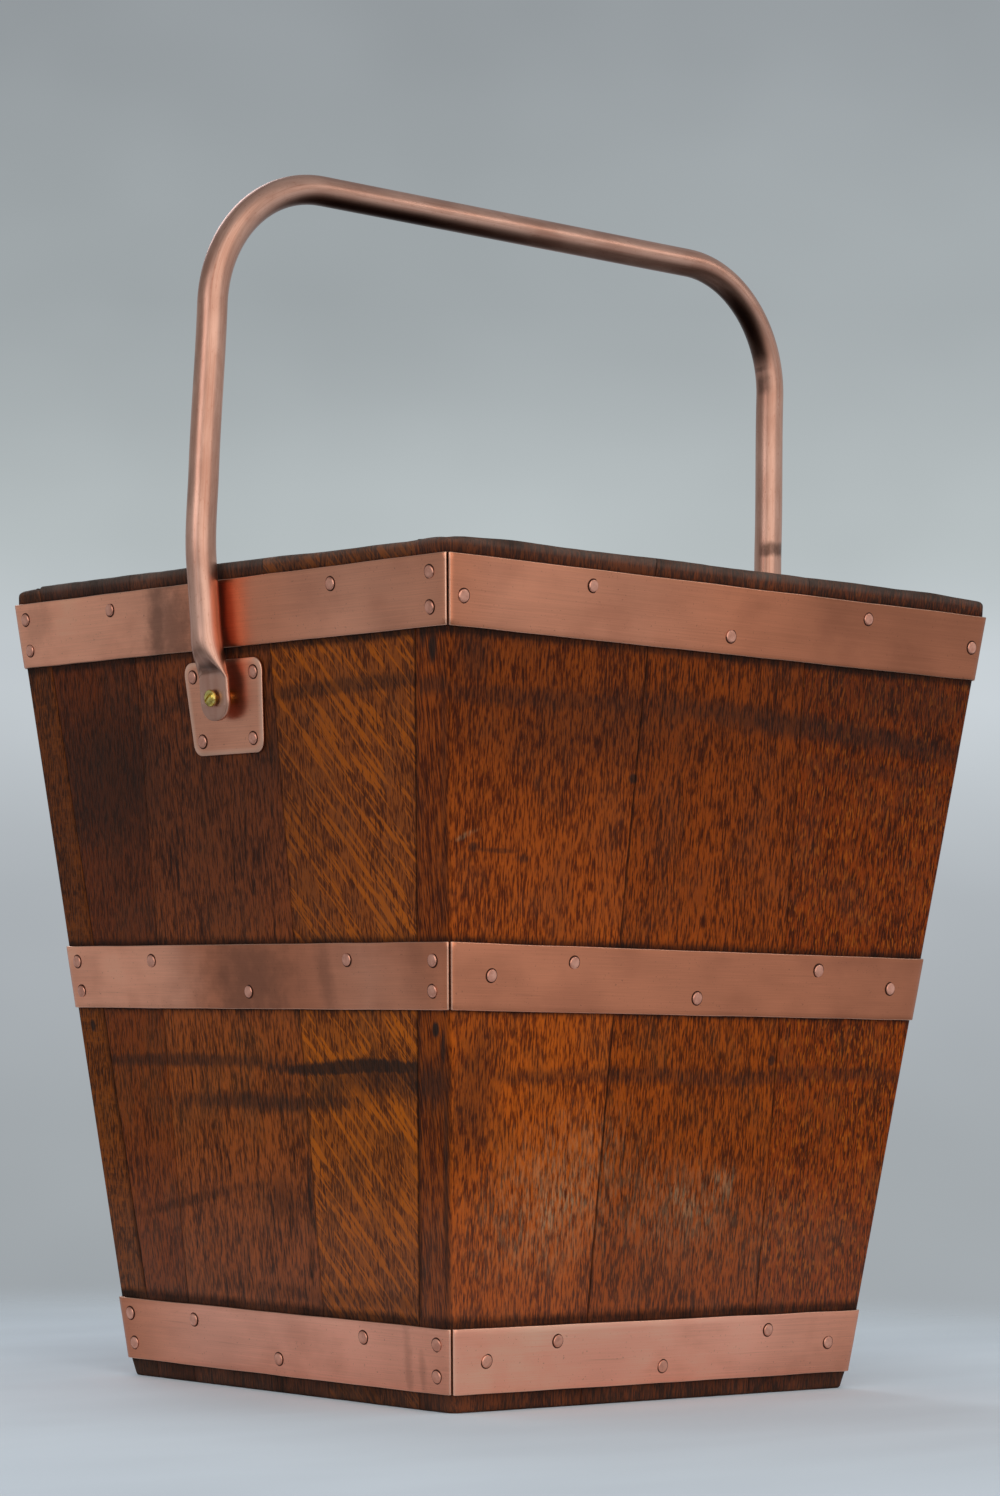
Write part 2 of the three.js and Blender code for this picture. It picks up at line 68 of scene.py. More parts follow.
def ripple(x, y, seed):
    # smooth noise between -1 and 1
    return noise.noise(Vector((x + seed, y - seed, 3.7)))


# Mesh helpers

def linked(name, data):
    thing = bpy.data.objects.new(name, data)
    scene.collection.objects.link(thing)
    return thing


def addLayer(mesh, label, data):
    # One number for each point, or three.
    single = len(data) == len(mesh.vertices)
    layer = mesh.attributes.new(label, "FLOAT" if single else "FLOAT_VECTOR", "POINT")
    layer.data.foreach_set("value" if single else "vector", data)


def finishMesh(mesh, sharpAngle):
    mesh.polygons.foreach_set("use_smooth", [True] * len(mesh.polygons))
    mesh.set_sharp_from_angle(angle=math.radians(sharpAngle))
    mesh.update()


def buildMesh(name, points, faces, sharpAngle=35, **layers):
    mesh = bpy.data.meshes.new(name)
    mesh.from_pydata([tuple(c * mm for c in p) for p in points], [], faces)
    for label, data in layers.items():
        addLayer(mesh, label, data)
    shell = bmesh.new()
    shell.from_mesh(mesh)
    bmesh.ops.remove_doubles(shell, verts=shell.verts, dist=2e-6)
    bmesh.ops.dissolve_degenerate(shell, dist=1e-6, edges=shell.edges)
    shell.to_mesh(mesh)
    shell.free()
    finishMesh(mesh, sharpAngle)
    return mesh


def primitive(name, make, **settings):
    shape = bmesh.new()
    make(shape, **settings)
    mesh = bpy.data.meshes.new(name)
    shape.to_mesh(mesh)
    shape.free()
    return mesh


def placed(mesh, matrix):
    # matrix is in millimetres
    metres = matrix.copy()
    metres.translation = matrix.translation * mm
    mesh.transform(metres)
    mesh.update()
    return mesh


def addPiece(name, mesh, material, body, slotName, *nodes):
    piece = linked(name, mesh)
    mesh.materials.clear()
    mesh.materials.append(material)
    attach(piece, body)
    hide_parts(*nodes)


def evaluated(holder):
    # The object's mesh with its modifiers worked in.
    graph = bpy.context.evaluated_depsgraph_get()
    mesh = bpy.data.meshes.new_from_object(holder.evaluated_get(graph))
    holder.modifiers.clear()
    return mesh


def cutAway(mesh, *cutters):
    # What is left of the mesh once the cutters' shapes are out.
    holder = linked("blank", mesh)
    tools = [linked("cutter", cutter) for cutter in cutters]
    for tool in tools:
        cut = holder.modifiers.new("cut", "BOOLEAN")
        cut.object, cut.operation, cut.solver = tool, "DIFFERENCE", "EXACT"
    left = evaluated(holder)
    for thing in tools + [holder]:
        bpy.data.objects.remove(thing)
    return left


def lofted(rings, closed=False, capped=False):
    # Quads between rings of equal count, wound anticlockwise seen from the last ring's side.
    count = len(rings[0])
    faces = []
    for r in range(len(rings) - (0 if closed else 1)):
        a, b = r * count, (r + 1) % len(rings) * count
        for i in range(count):
            j = (i + 1) % count
            faces.append((a + i, a + j, b + j, b + i))
    if capped:
        last = (len(rings) - 1) * count
        faces += [tuple(range(count))[::-1], tuple(range(last, last + count))]
    return [p for ring in rings for p in ring], faces


def pairedCaps(ringCount, count):
    # Both ends of a loft whose rings are two facing halves, closed with quads across.
    last = (ringCount - 1) * count
    faces = []
    for i in range(count // 2 - 1):
        j = count - 1 - i
        faces.append((i, j, j - 1, i + 1))
        faces.append((last + i, last + i + 1, last + j - 1, last + j))
    return faces


def circle(radius, z, sides):
    angles = [2 * math.pi * i / sides for i in range(sides)]
    return [(radius * math.cos(a), radius * math.sin(a), z) for a in angles]


def turnedMesh(name, profile, sides, sharpAngle=35, closed=False):
    # A turned piece along Z from its profile's radius and height, inside upwards.
    points, faces, rows = [], [], []
    for radius, z in profile:
        row = circle(radius, z, sides) if radius else [(0, 0, z)]
        rows.append([len(points) + i % len(row) for i in range(sides)])
        points += row
    for low, high in zip(rows, rows[1:] + rows[:1] if closed else rows[1:]):
        for i in range(sides):
            j = (i + 1) % sides
            corners = list(dict.fromkeys((low[i], low[j], high[j], high[i])))
            if len(corners) > 2:
                faces.append(corners)
    return buildMesh(name, points, faces, sharpAngle)


# Bucket, measured over the wood

bucket = {
    "height": 400,
    "topWidth": 366,
    "topDepth": 344,
    "baseWidth": 262,
    "baseDepth": 250,
    "board": 23,
    "joint": 0.3,
}
sideSlope = (bucket["topWidth"] - bucket["baseWidth"]) / 2 / bucket["height"]
frontSlope = (bucket["topDepth"] - bucket["baseDepth"]) / 2 / bucket["height"]


def halfWidth(z):
    return bucket["baseWidth"] / 2 + sideSlope * z


def halfDepth(z):
    return bucket["baseDepth"] / 2 + frontSlope * z


def levelThickness(slope):
    return bucket["board"] / math.cos(math.atan(slope))


def makeWall(name, turn, boards):
    # Each wall is drawn facing -Y, x along it and z up, and then turned round Z.
    between = name in ("left", "right")
    return {
        "name": name,
        "turn": math.radians(turn),
        "boards": boards,
        "between": between,
        "slope": sideSlope if between else frontSlope,
        "reach": halfWidth if between else halfDepth,
        "half": halfDepth if between else halfWidth,
        "otherSlope": frontSlope if between else sideSlope,
        "rise": {"front": 2.3, "left": 1.5, "back": 1.4, "right": 1.2}[name],
        "seams": [(-0.57, -0.413), (0.28, 0.21)] if between else [(-0.385, -0.284), (0.473, 0.284)],
    }


walls = [
    makeWall("front", 0, ["left", "middle", "right"]),
    makeWall("back", 180, ["right", "middle", "left"]),
    makeWall("left", -90, ["back", "middle", "front"]),
    makeWall("right", 90, ["front", "middle", "back"]),
]
sideWalls = [wall for wall in walls if wall["between"]]


def faceMatrix(wall):
    # x along the face, y up its slope, z out of the wood
    tilt = math.pi / 2 + math.atan(wall["slope"])
    stand = Matrix.Translation((0, -wall["reach"](0), 0)) @ Matrix.Rotation(tilt, 4, "X")
    return Matrix.Rotation(wall["turn"], 4, "Z") @ stand


def upFace(wall, z):
    return z / math.cos(math.atan(wall["slope"]))


def downFace(wall, rise):
    return rise * math.cos(math.atan(wall["slope"]))


def seamAt(wall, index, z):
    foot, rim = wall["seams"][index]
    return lerp(foot, rim, z / bucket["height"]) * wall["half"](z)


def boardSpan(wall, index, z):
    inner = wall["half"](z)
    if wall["between"]:
        inner -= levelThickness(wall["otherSlope"]) + bucket["joint"]
    low = -inner if index == 0 else seamAt(wall, index - 1, z) + bucket["joint"] / 2
    high = inner if index == 2 else seamAt(wall, index, z) - bucket["joint"] / 2
    return low, high


# Node helpers. They work in the tree that was opened last.

bench = {"tree": None}


def openTree(tree):
    tree.nodes.clear()
    bench["tree"] = tree


def feed(socket, value):
    # A link from another node, or else a plain value.
    if isinstance(value, bpy.types.NodeSocket):
        bench["tree"].links.new(value, socket)
    else:
        socket.default_value = value


def node(kind, inputs=None, **settings):
    made = bench["tree"].nodes.new(kind)
    for key, value in settings.items():
        setattr(made, key, value)
    for key, value in (inputs or {}).items():
        feed(made.inputs[key], value)
    return made


def calc(operation, *terms, clamped=False):
    inputs = dict(enumerate(terms))
    return node("ShaderNodeMath", inputs, operation=operation, use_clamp=clamped).outputs[0]


def times(first, second, clamped=False):
    return calc("MULTIPLY", first, second, clamped=clamped)


def mixIn(value, amount, base):
    return calc("MULTIPLY_ADD", value, amount, base)


def centred(value):
    return calc("SUBTRACT", value, 0.5)


def swing(value, amount, base=0.0):
    # base moved by amount times how far the noise is from its middle
    return mixIn(centred(value), amount, base)


def measure(operation, *vectors):
    return node("ShaderNodeVectorMath", dict(enumerate(vectors)), operation=operation).outputs["Value"]


def axes(vector):
    return node("ShaderNodeSeparateXYZ", {0: vector}).outputs


def fade(value, low, high, most=1.0):
    # 0 at low, most at high
    ends = {"Value": value, "From Min": low, "From Max": high, "To Max": most}
    return node("ShaderNodeMapRange", ends, interpolation_type="SMOOTHSTEP").outputs[0]


def spread(value, low, high):
    return node("ShaderNodeMapRange", {"Value": value, "To Min": low, "To Max": high}).outputs[0]


def blendColour(factor, under, over, mode="MIX"):
    inputs = {0: factor, 6: under, 7: over}
    return node("ShaderNodeMix", inputs, data_type="RGBA", blend_type=mode).outputs[2]


def tint(colour, mask, code, gain=1.0):
    return blendColour(mask, colour, rgba(code, gain))


def fitted(vector, at, turn, size):
    # The vector seen from a place, turned back and in units of size.
    inputs = {"Vector": vector, "Location": at, "Rotation": turn, "Scale": size}
    return node("ShaderNodeMapping", inputs, vector_type="TEXTURE").outputs[0]


def grain(vector, size, detail=2, rough=0.5, warp=0.0, shift=(0, 0, 0), turn=(0, 0, 0)):
    # Noise whose spots have this size along the axes, in the vector's own units.
    spot = fitted(vector, shift, turn, size)
    inputs = {"Vector": spot, "Scale": 1.0, "Detail": detail, "Roughness": rough, "Distortion": warp}
    return node("ShaderNodeTexNoise", inputs).outputs[0]


def ramp(share, stops, way="LINEAR"):
    made = node("ShaderNodeValToRGB", {"Fac": share})
    made.color_ramp.interpolation = way
    points = made.color_ramp.elements
    for i, (position, colour) in enumerate(stops):
        point = points[i] if i < 2 else points.new(position)
        point.position, point.color = position, colour
    return made.outputs[0]


def heightRamp(height, stops, tall=400.0):
    # Values given at heights, straight between them.
    share = calc("DIVIDE", height, tall, clamped=True)
    return ramp(share, [(clamp(z / tall), (value, value, value, 1)) for z, value in stops])


def attribute(name, output="Fac"):
    return node("ShaderNodeAttribute", attribute_name=name).outputs[output]


def objectPlace(turn=0.0):
    # The place on the object in millimetres, turned back by a wall's turn.
    coord = node("ShaderNodeTexCoord").outputs["Object"]
    inputs = {"Vector": coord, "Rotation": (0, 0, -turn), "Scale": (1 / mm, 1 / mm, 1 / mm)}
    return node("ShaderNodeMapping", inputs).outputs[0]


def seenRay():
    # 1 for what the camera sees, straight or by way of metal or glass
    path = node("ShaderNodeLightPath").outputs
    seen = calc("MAXIMUM", path["Is Camera Ray"], path["Is Glossy Ray"])
    return calc("MAXIMUM", seen, path["Is Transmission Ray"])


def newFinish(name):
    material = bpy.data.materials.new(name)
    material.use_nodes = True
    openTree(material.node_tree)
    return material


def surface(colour, rough, height, bump, depth, metallic=0.0, specular=0.5):
    inputs = {"Height": height, "Strength": bump, "Distance": depth}
    inputs = {"Base Color": colour, "Roughness": rough, "Normal": node("ShaderNodeBump", inputs).outputs[0]}
    inputs |= {"Metallic": metallic, "Specular IOR Level": specular}
    return node("ShaderNodeBsdfPrincipled", inputs).outputs[0]


def closeFinish(material, shader):
    node("ShaderNodeOutputMaterial", {"Surface": shader})
    return material


def ovalMask(place, mark, ragged):
    # A spot or smear on the wall's face with a ragged edge.
    x, z, width, tall, depth, rag, soft, lean = mark
    spot = fitted(place, (x, 0, z), (0, -math.radians(lean), 0), (width, 1e6, tall))
    return fade(mixIn(ragged, rag, measure("LENGTH", spot)), 1 + soft, 1 - soft, depth)


def stainMask(place, marks, ragged, base=None):
    for mark in marks:
        mask = ovalMask(place, mark, ragged)
        base = mask if base is None else calc("MAXIMUM", base, mask)
    return base


# Oak

oak = {
    "middle": 0.46,
    "fleckSize": (30, 12, 2.3),
    "fleckTurn": 47,
    "speckSize": (1.2, 1.2, 6),
    "raggedSize": (2.2, 2.2, 9),
    "streakSize": (1.6, 1.6, 9),
    "filmSize": (24, 24, 30),
    "patchSize": (26, 26, 26),
    "wanderSize": (95, 95, 95),
    "wander": 7.0,
    "innerFace": (19.5, 22.5),
    # where each layer starts, where it is full and how strong it then is
    "poreFade": (0.0, -0.8, 0.5),
    "lineFade": (0.45, 0.3, 0.65),
    "speckFade": (0.56, 0.68, 0.75),
    "fleckFade": (0.52, 0.58),
    "filmFade": (0.48, 0.68, 0.15),
    "streakFade": (0.38, 0.66),
    "stainFade": (0.6, 0.75, 0.2),
    "grimeDepth": 0.88,
    "orange": "a85410",
    "grime": "211712",
    "film": "563d2c",
    "warmth": (1.03, 1.05, 0.65, 1),
    # pale film: dust, with painted sheen low down and a painted highlight along the rim's arris
    "dust": "b3a79c",
    # pale patches of painted sheen, the floor's reflection in the waxed wood
    "sheenColour": "caae84",
    "pore": "2c1006",
    "rough": (0.42, 0.6),
    "specular": 0.06,
    "bump": 0.35,
    "bumpDepth": 0.0003,
}
# Layers of the grain: size of the spots, detail, roughness, warp and how far each swings the lightness
grainLayers = {
    "tone": ((15, 15, 130), 2, 0.5, 0, 0.7),
    "mottle": ((24, 24, 30), 3, 0.55, 0, 1.7),
    "lines": ((2.3, 2.3, 150), 2, 0.6, 0.1, 0.6),
    "dashes": ((1.1, 1.1, 26), 1, 0.5, 0.1, 3.3),
    "fine": ((0.85, 0.85, 8), 2, 0.6, 0, 5.2),
}
# By height: how far the wood has turned to its rim colour, its shade and warmth near the foot, and its pale
# film of dust, with painted sheen near the foot and a painted highlight along the rim's arris
rimShare = [(0, 0), (180, 0), (250, 0.35), (315, 0.9), (340, 1), (400, 1)]
footShade = [(0, 0.72), (40, 0.9), (110, 1), (400, 1)]
warmShare = [(0, 0), (60, 0.15), (90, 0.45), (125, 1), (165, 1), (230, 0), (400, 0)]
dustAndSheenStops = [(0, 0.08), (40, 0.05), (80, 0.03), (100, 0.01), (120, 0), (392, 0), (397, 0.08), (400.5, 0.34)]
# Dirt left along the strips' edges, and coal dust on the inside, thickest low down
grimeStops = [
    (0, 0.9), (3, 0.75), (7, 0.9), (9, 1), (39, 1), (42.5, 0.9), (45.5, 0),
    (184, 0), (185.4, 0.95), (218, 0.95), (219.3, 0.75), (221, 0),
    (355.5, 0), (358, 0.95), (361, 1), (392, 1), (394.2, 0.7), (398, 0.55), (400, 0.8),
]
coalStops = [(0, 1), (60, 1), (220, 0.6), (340, 0.25), (392, 0.2), (400, 0.6)]
# One finish for each board: dark and light colour, tone at the rim, lean of the grain in degrees,
# how strong its lines, specks and flecks are and the tone of its end edge
boardLooks = {
    "front_board_left": ("6b2a08", "b35315", 0.49, 4, 0.2, 0.3, 0, 0.56),
    "front_board_middle": ("5a2304", "9c450d", 0.68, 2, 0.7, 0.3, 0, 0),
    "front_board_right": ("4f1d02", "903b07", 0.72, 0, 0.3, 0.9, 0, 0.6),
    "left_board_back": ("50230e", "7c3816", 0.58, 0, 0.7, 0.2, 0, 0),
    "left_board_middle": ("5c2b14", "8f4620", 0.6, 0, 1.2, 0.25, 0, 0),
    "left_board_front": ("5c2a0f", "914919", 0.8, 0, 0.15, 0.0, 1.2, 0),
    "right_board_front": ("50250c", "85431a", 0.6, 1, 0.5, 0.3, 0, 0),
    "right_board_middle": ("4c240c", "7c3f16", 0.6, 0, 0.2, 0.1, 0.75, 0),
    "right_board_back": ("4c230d", "80411a", 0.55, -1, 0.6, 0.3, 0, 0),
    "back_board_left": ("572809", "914716", 0.6, 1, 0.3, 0.4, 0.3, 0.7),
    "back_board_middle": ("52260a", "894213", 0.6, 0, 0.6, 0.3, 0, 0),
    "back_board_right": ("592708", "924713", 0.6, -2, 0.35, 0.6, 0, 0.7),
}
# Stains on the outer faces, and pale patches of painted sheen: place along the wall and height, half width
# and half height, depth, how ragged and how soft the edge is, and lean in degrees
ghostMarks = [
    (0, 334, 330, 5, 0.45, 1.6, 0.6, 0),
    (0, 158, 330, 4, 0.4, 1.6, 0.6, 0),
]
darkMarks = {
    "front": [
        (80, 327, 135, 6, 0.62, 1.8, 0.7, -3.2),
        (-100, 331, 110, 5, 0.42, 1.8, 0.6, -0.5),
        (-75, 318, 60, 14, 0.3, 1.6, 0.9, 3),
        (125, 309, 60, 3.5, 0.35, 1.8, 0.7, -3),
        (125, 345, 70, 12, 0.4, 1.4, 0.8, -2),
        (20, 157, 240, 3.5, 0.42, 1.7, 0.6, 0),
        (-136, 148, 12, 34, 0.5, 1.2, 0.7, 0),
        (-160, 350, 10, 12, 0.45, 1.4, 0.8, 0),
        (56.7, 165, 2.2, 2.6, 0.8, 0.5, 0.3, 0),
        (-54, 297, 2.6, 2.4, 0.85, 0.6, 0.4, 0),
        (-114, 293, 3, 3.5, 0.4, 1.2, 0.6, 0),
        (-150, 261, 3, 2.2, 0.7, 1.2, 0.5, 0),
        (-134, 260.5, 12, 1.1, 0.5, 1.6, 0.6, 2),
        (-119, 258, 4, 2, 0.55, 1.4, 0.6, 0),
    ],
    "left": [
        (90, 336, 75, 3.6, 0.5, 1.6, 0.5, 1),
        (-70, 334, 85, 3, 0.4, 1.6, 0.6, -2),
        (78, 158.5, 76, 3.6, 0.9, 1.5, 0.35, -0.5),
        (-62, 161, 95, 3.2, 0.6, 1.6, 0.5, 0),
        (92, 153, 62, 8, 0.62, 1.5, 0.7, 1),
        (130, 152, 24, 9, 0.9, 1.6, 0.6, 0),
        (8, 142, 76, 4.2, 0.66, 1.6, 0.6, 1),
        (60, 206, 30, 17, 0.4, 1.0, 0.8, 0),
        (-30, 265, 90, 62, 0.42, 1.0, 0.8, 0),
        (-100, 255, 50, 70, 0.4, 1.0, 0.8, 0),
        (-98, 296, 56, 38, 0.68, 0.8, 0.8, 0),
        (-20, 292, 44, 30, 0.45, 0.8, 0.9, 0),
        (24, 306, 18, 28, 0.5, 0.8, 0.8, 0),
        (12, 94, 11, 9, 0.55, 2.0, 0.8, 0),
        (33, 98, 2.4, 14, 0.7, 1.6, 0.6, -4),
        (30, 66, 2.4, 11, 0.6, 1.8, 0.6, -4),
        (102, 125.8, 4, 3, 0.45, 1.6, 0.7, 0),
        (71, 114, 5, 5, 0.4, 1.8, 0.7, 0),
        (-60, 92, 55, 2.5, 0.4, 1.6, 0.6, 9),
        (60, 50, 100, 4, 0.3, 1.8, 0.6, 0),
    ],
    "back": ghostMarks,
    "right": ghostMarks,
}
# Pale patches low on the front face: painted sheen, the floor's reflection in the waxed wood
sheenMarks = {
    "front": [
        (-78, 100, 38, 26, 0.22, 2.2, 0.9, 20),
        (-80, 96, 18, 9, 0.34, 3.0, 0.6, 35),
        (0, 92, 38, 20, 0.14, 2.2, 0.9, -12),
        (6, 96, 15, 6, 0.3, 3.0, 0.6, -30),
        (30, 104, 7, 10, 0.25, 2.2, 0.6, -20),
        (66, 82, 34, 18, 0.06, 2.2, 0.9, 0),
        (-155, 266, 7, 1.2, 0.2, 1.6, 0.6, 25),
    ],
}
# Stains on a board's end edge: how far in from the wall's face, height and the rest
edgeMarks = {
    "front_board_left": [
        (10.5, 177, 2.4, 3.4, 0.95, 0.6, 0.35, 0),
        (11, 351, 3.0, 6.5, 0.9, 0.8, 0.5, 0),
        (18, 360, 3.0, 9, 0.7, 0.8, 0.5, 0),
        (14, 152, 24, 9, 0.72, 1.6, 0.8, 0),
        (12, 334, 26, 4, 0.5, 1.4, 0.6, 0),
        (3.5, 104, 1.7, 58, 0.7, 1.2, 0.7, 0),
        (5, 168, 1.8, 8, 0.8, 1.0, 0.6, 0),
        (3, 300, 2.2, 55, 0.35, 1.4, 0.8, 0),
    ],
    "back_board_left": [
        (12, 177, 2.2, 3.2, 0.9, 0.6, 0.35, 0),
        (12, 320, 40, 130, 0.4, 0.3, 0.6, 0),
    ],
}


def oakFinish(wall, boardName):
    dark, light, rimTone, lean, lineGain, speckGain, fleckGain, edgeTone = boardLooks[boardName]
    seed = 37.0 * sorted(boardLooks).index(boardName)
    shift = (seed, seed * 0.7, seed * 3.1)
    material = newFinish(boardName.replace("board", "oak"))
    place = objectPlace(wall["turn"])
    height = axes(place)["Z"]
    inward = calc("ADD", mixIn(height, wall["slope"], axes(place)["Y"]), wall["reach"](0))
    inner = fade(inward, *oak["innerFace"])
    outer = calc("SUBTRACT", 1.0, inner)
    grown = node("ShaderNodeMapping", {"Vector": place, "Rotation": (0, math.radians(lean), 0)}).outputs[0]

    layers, lightness = {}, oak["middle"]
    for label, (size, detail, rough, warp, reach) in grainLayers.items():
        vector = place if label == "mottle" else grown
        layers[label] = grain(vector, size, detail, rough, warp, shift)
        lightness = swing(layers[label], reach + (lineGain if label == "lines" else 0), lightness)
    mottle = layers["mottle"]
    ragged = centred(grain(grown, oak["raggedSize"], 3, 0.65, shift=shift))
    colour = blendColour(lightness, rgba(dark), rgba(light))
    colour = tint(colour, fade(lightness, *oak["poreFade"]), oak["pore"])
    start, full, most = oak["lineFade"]
    colour = tint(colour, fade(layers["lines"], start, full, most * lineGain), oak["pore"])
    if speckGain:
        specks = grain(grown, oak["speckSize"], 1, shift=(seed + 9, 4, seed))
        start, full, most = oak["speckFade"]
        colour = tint(colour, fade(specks, start, full, most * speckGain), oak["orange"], 1.1)
    if fleckGain:
        turn = (0, math.radians(oak["fleckTurn"]), 0)
        flecks = grain(place, oak["fleckSize"], 2, 0.5, 0.3, (seed, 0, seed), turn)
        flecks = times(fade(flecks, *oak["fleckFade"]), fade(lightness, -1.2, 0.4))
        flecks = times(flecks, fade(mottle, 0.25, 0.5))
        colour = tint(colour, times(flecks, fleckGain, clamped=True), oak["orange"])
    film = grain(place, oak["filmSize"], 3, 0.6, shift=(seed, 3, 3))
    colour = tint(colour, fade(film, *oak["filmFade"]), oak["film"])
    shade = spread(heightRamp(height, rimShare), 1.0, rimTone)
    edge = attribute("edge")
    if edgeTone:
        shade = spread(edge, shade, edgeTone)
    colour = blendColour(1.0, colour, times(shade, heightRamp(height, footShade)), "MULTIPLY")
    colour = blendColour(heightRamp(height, warmShare), colour, oak["warmth"], "MULTIPLY")

    wander = swing(grain(place, oak["wanderSize"], 1, shift=(7, 7, 7)), oak["wander"])
    wander = node("ShaderNodeCombineXYZ", {2: wander}).outputs[0]
    moved = node("ShaderNodeVectorMath", {0: place, 1: wander}).outputs["Vector"]
    # Painted sheen: pale patches where the waxed wood would reflect the floor, broken up by the grain
    sheenMask = stainMask(moved, sheenMarks.get(wall["name"], ()), ragged)
    if sheenMask is not None:
        streaks = grain(grown, oak["streakSize"], 3, 0.7, shift=(5, 5, 5))
        colour = tint(colour, times(sheenMask, fade(streaks, *oak["streakFade"])), oak["sheenColour"])
    # Pale film by height: dust, with painted sheen low down and a painted highlight along the rim's arris
    dustAndSheen = times(heightRamp(height, dustAndSheenStops), spread(mottle, 0.6, 1.4))
    colour = tint(colour, dustAndSheen, oak["dust"])

    stained = fade(mottle, *oak["stainFade"])
    stained = stainMask(moved, darkMarks[wall["name"]], ragged, stained)
    if boardName in edgeMarks:
        side = node("ShaderNodeCombineXYZ", {0: inward, 2: height}).outputs[0]
        onEdge = times(stainMask(side, edgeMarks[boardName], ragged), edge)
        stained = mixIn(stained, calc("SUBTRACT", 1.0, edge), onEdge)
    colour = tint(colour, times(stained, outer), oak["grime"], 1.2)

    edges = heightRamp(mixIn(ragged, 4.0, height), grimeStops)
    coal = times(inner, spread(heightRamp(height, coalStops), 0.3, 0.8))
    patchy = spread(grain(place, oak["patchSize"], shift=shift), 0.35, 1.45)
    edges = times(mixIn(edges, outer, coal), patchy, clamped=True)
    seam = times(attribute("grime"), mixIn(ragged, 1.2, 0.75), clamped=True)
    dirt = calc("MAXIMUM", edges, seam)
    colour = tint(colour, times(dirt, oak["grimeDepth"]), oak["grime"], 0.7)
    rough = mixIn(dirt, 0.15, spread(layers["tone"], *oak["rough"]))
    skin = surface(colour, rough, lightness, oak["bump"], oak["bumpDepth"], specular=oak["specular"])
    return closeFinish(material, skin)


# Wall boards: lofted up their height, worn at the rim, the foot and the free arrises

boards = {
    "columnStep": 5,
    "sideInset": 0.7,
    "rowStep": 8,
    "sideShares": (0.44, 0.32),
    "seamEase": 0.25,
    "arris": 2.3,
    "arrisRim": 4.2,
    "arrisFoot": 3.0,
    "arcSteps": 4,
    "rimRound": 2.6,
    "rimWear": 0.7,
    "cornerWear": {(-1, -1): 1.2, (1, -1): 0.6, (-1, 1): 0.6, (1, 1): 0.8},
    "cornerReach": 9,
    "endDrop": 0.85,
    "rimDips": [(-183, -148, 0.7, 17), (-183, -100, 1.0, 42)],  # place, depth and reach
    "footRound": 1.6,
    "waves": 0.14,
    "grooveLow": 13.7,
    "grooveHigh": 34.3,
    "grooveDepth": 7.3,
}
# How dirty each seam is, by wall: both seams and the joints with the neighbouring walls
seamDirt = {
    "front": (1.0, 0.5, 1.0),
    "left": (0.15, 0.35, 1.0),
    "back": (0.6, 0.5, 0.8),
    "right": (0.5, 0.6, 0.9),
}


def rimWear(place):
    # How far the rim is worn down at a place seen from above.
    worn = boards["rimWear"] * (0.5 + 0.5 * ripple(place.x * 0.021, place.y * 0.021, seed=2))
    worn += 0.25 * abs(ripple(place.x * 0.11, place.y * 0.11, seed=5))
    top = bucket["height"]
    for (sx, sy), deep in boards["cornerWear"].items():
        away = math.hypot(place.x - sx * halfWidth(top), place.y - sy * halfDepth(top))
        worn += deep * math.exp(-((away / boards["cornerReach"]) ** 2))
    for x, y, deep, reach in boards["rimDips"]:
        worn += deep * math.exp(-((math.hypot(place.x - x, place.y - y) / reach) ** 2))
    return worn


def boardRing(wall, index, z, groove):
    # Points of one level with the way each one faces, its dirt and whether it may wear.
    ends = boardSpan(wall, index, z)
    outer = -wall["reach"](z)
    deep = levelThickness(wall["slope"])
    free = [not wall["between"] and index == last for last in (0, 2)]
    rim = boards["arrisRim"] * smooth(388, 400, z) + boards["arrisFoot"] * smooth(12, 0, z)
    dirty = seamDirt[wall["name"]]
    grimy = [dirty[2] if index == 0 else dirty[index - 1], dirty[2] if index == 2 else dirty[index]]
    grimy = [0.0 if isFree else dirt for isFree, dirt in zip(free, grimy)]

    def corner(end, isOuter):
        # From the side round the arris to the face, and where the arris ends.
        border, facing, sign = ends[end], (-1, 1)[end], 1 if isOuter else -1
        face = outer if isOuter else outer + deep
        worn = free[end] and isOuter
        radius = boards["arris"] + rim if worn else boards["seamEase"]
        points = []
        for share in boards["sideShares"]:
            side = outer + deep * (share if isOuter else 1 - share)
            points.append((border, side, facing, 0, grimy[end], free[end]))
        for i in range(boards["arcSteps"] + 1):
            angle = math.pi / 2 * i / boards["arcSteps"]
            nx, ny = facing * math.cos(angle), -sign * math.sin(angle)
            x = border - facing * radius * (1 - math.cos(angle))
            y = face + sign * radius * (1 - math.sin(angle))
            if not worn:
                nx, ny = facing if free[end] else 0, -sign
            points.append((x, y, nx, ny, grimy[end], free[end]))
        return points, border - facing * (radius + boards["sideInset"])

    def half(isOuter):
        (first, start), (last, stop) = corner(0, isOuter), corner(1, isOuter)
        low, high = boardSpan(wall, index, 200)
        count = 2 + round((high - low) / boards["columnStep"])
        y, ny = (outer, -1) if isOuter else (outer + deep, 1)
        middle = [(lerp(start, stop, i / (count - 1)), y, 0, ny, 0.0, True) for i in range(count)]
        return first + middle + last[::-1]

    ring = half(True) + half(False)[::-1]
    if groove:
        reach = wall["half"](z) - levelThickness(wall["otherSlope"]) + boards["grooveDepth"]
        bed = outer + deep - boards["grooveDepth"]
        ring = [(x, min(y, bed) if abs(x) < reach else y, *rest) for x, y, *rest in ring]
    return ring


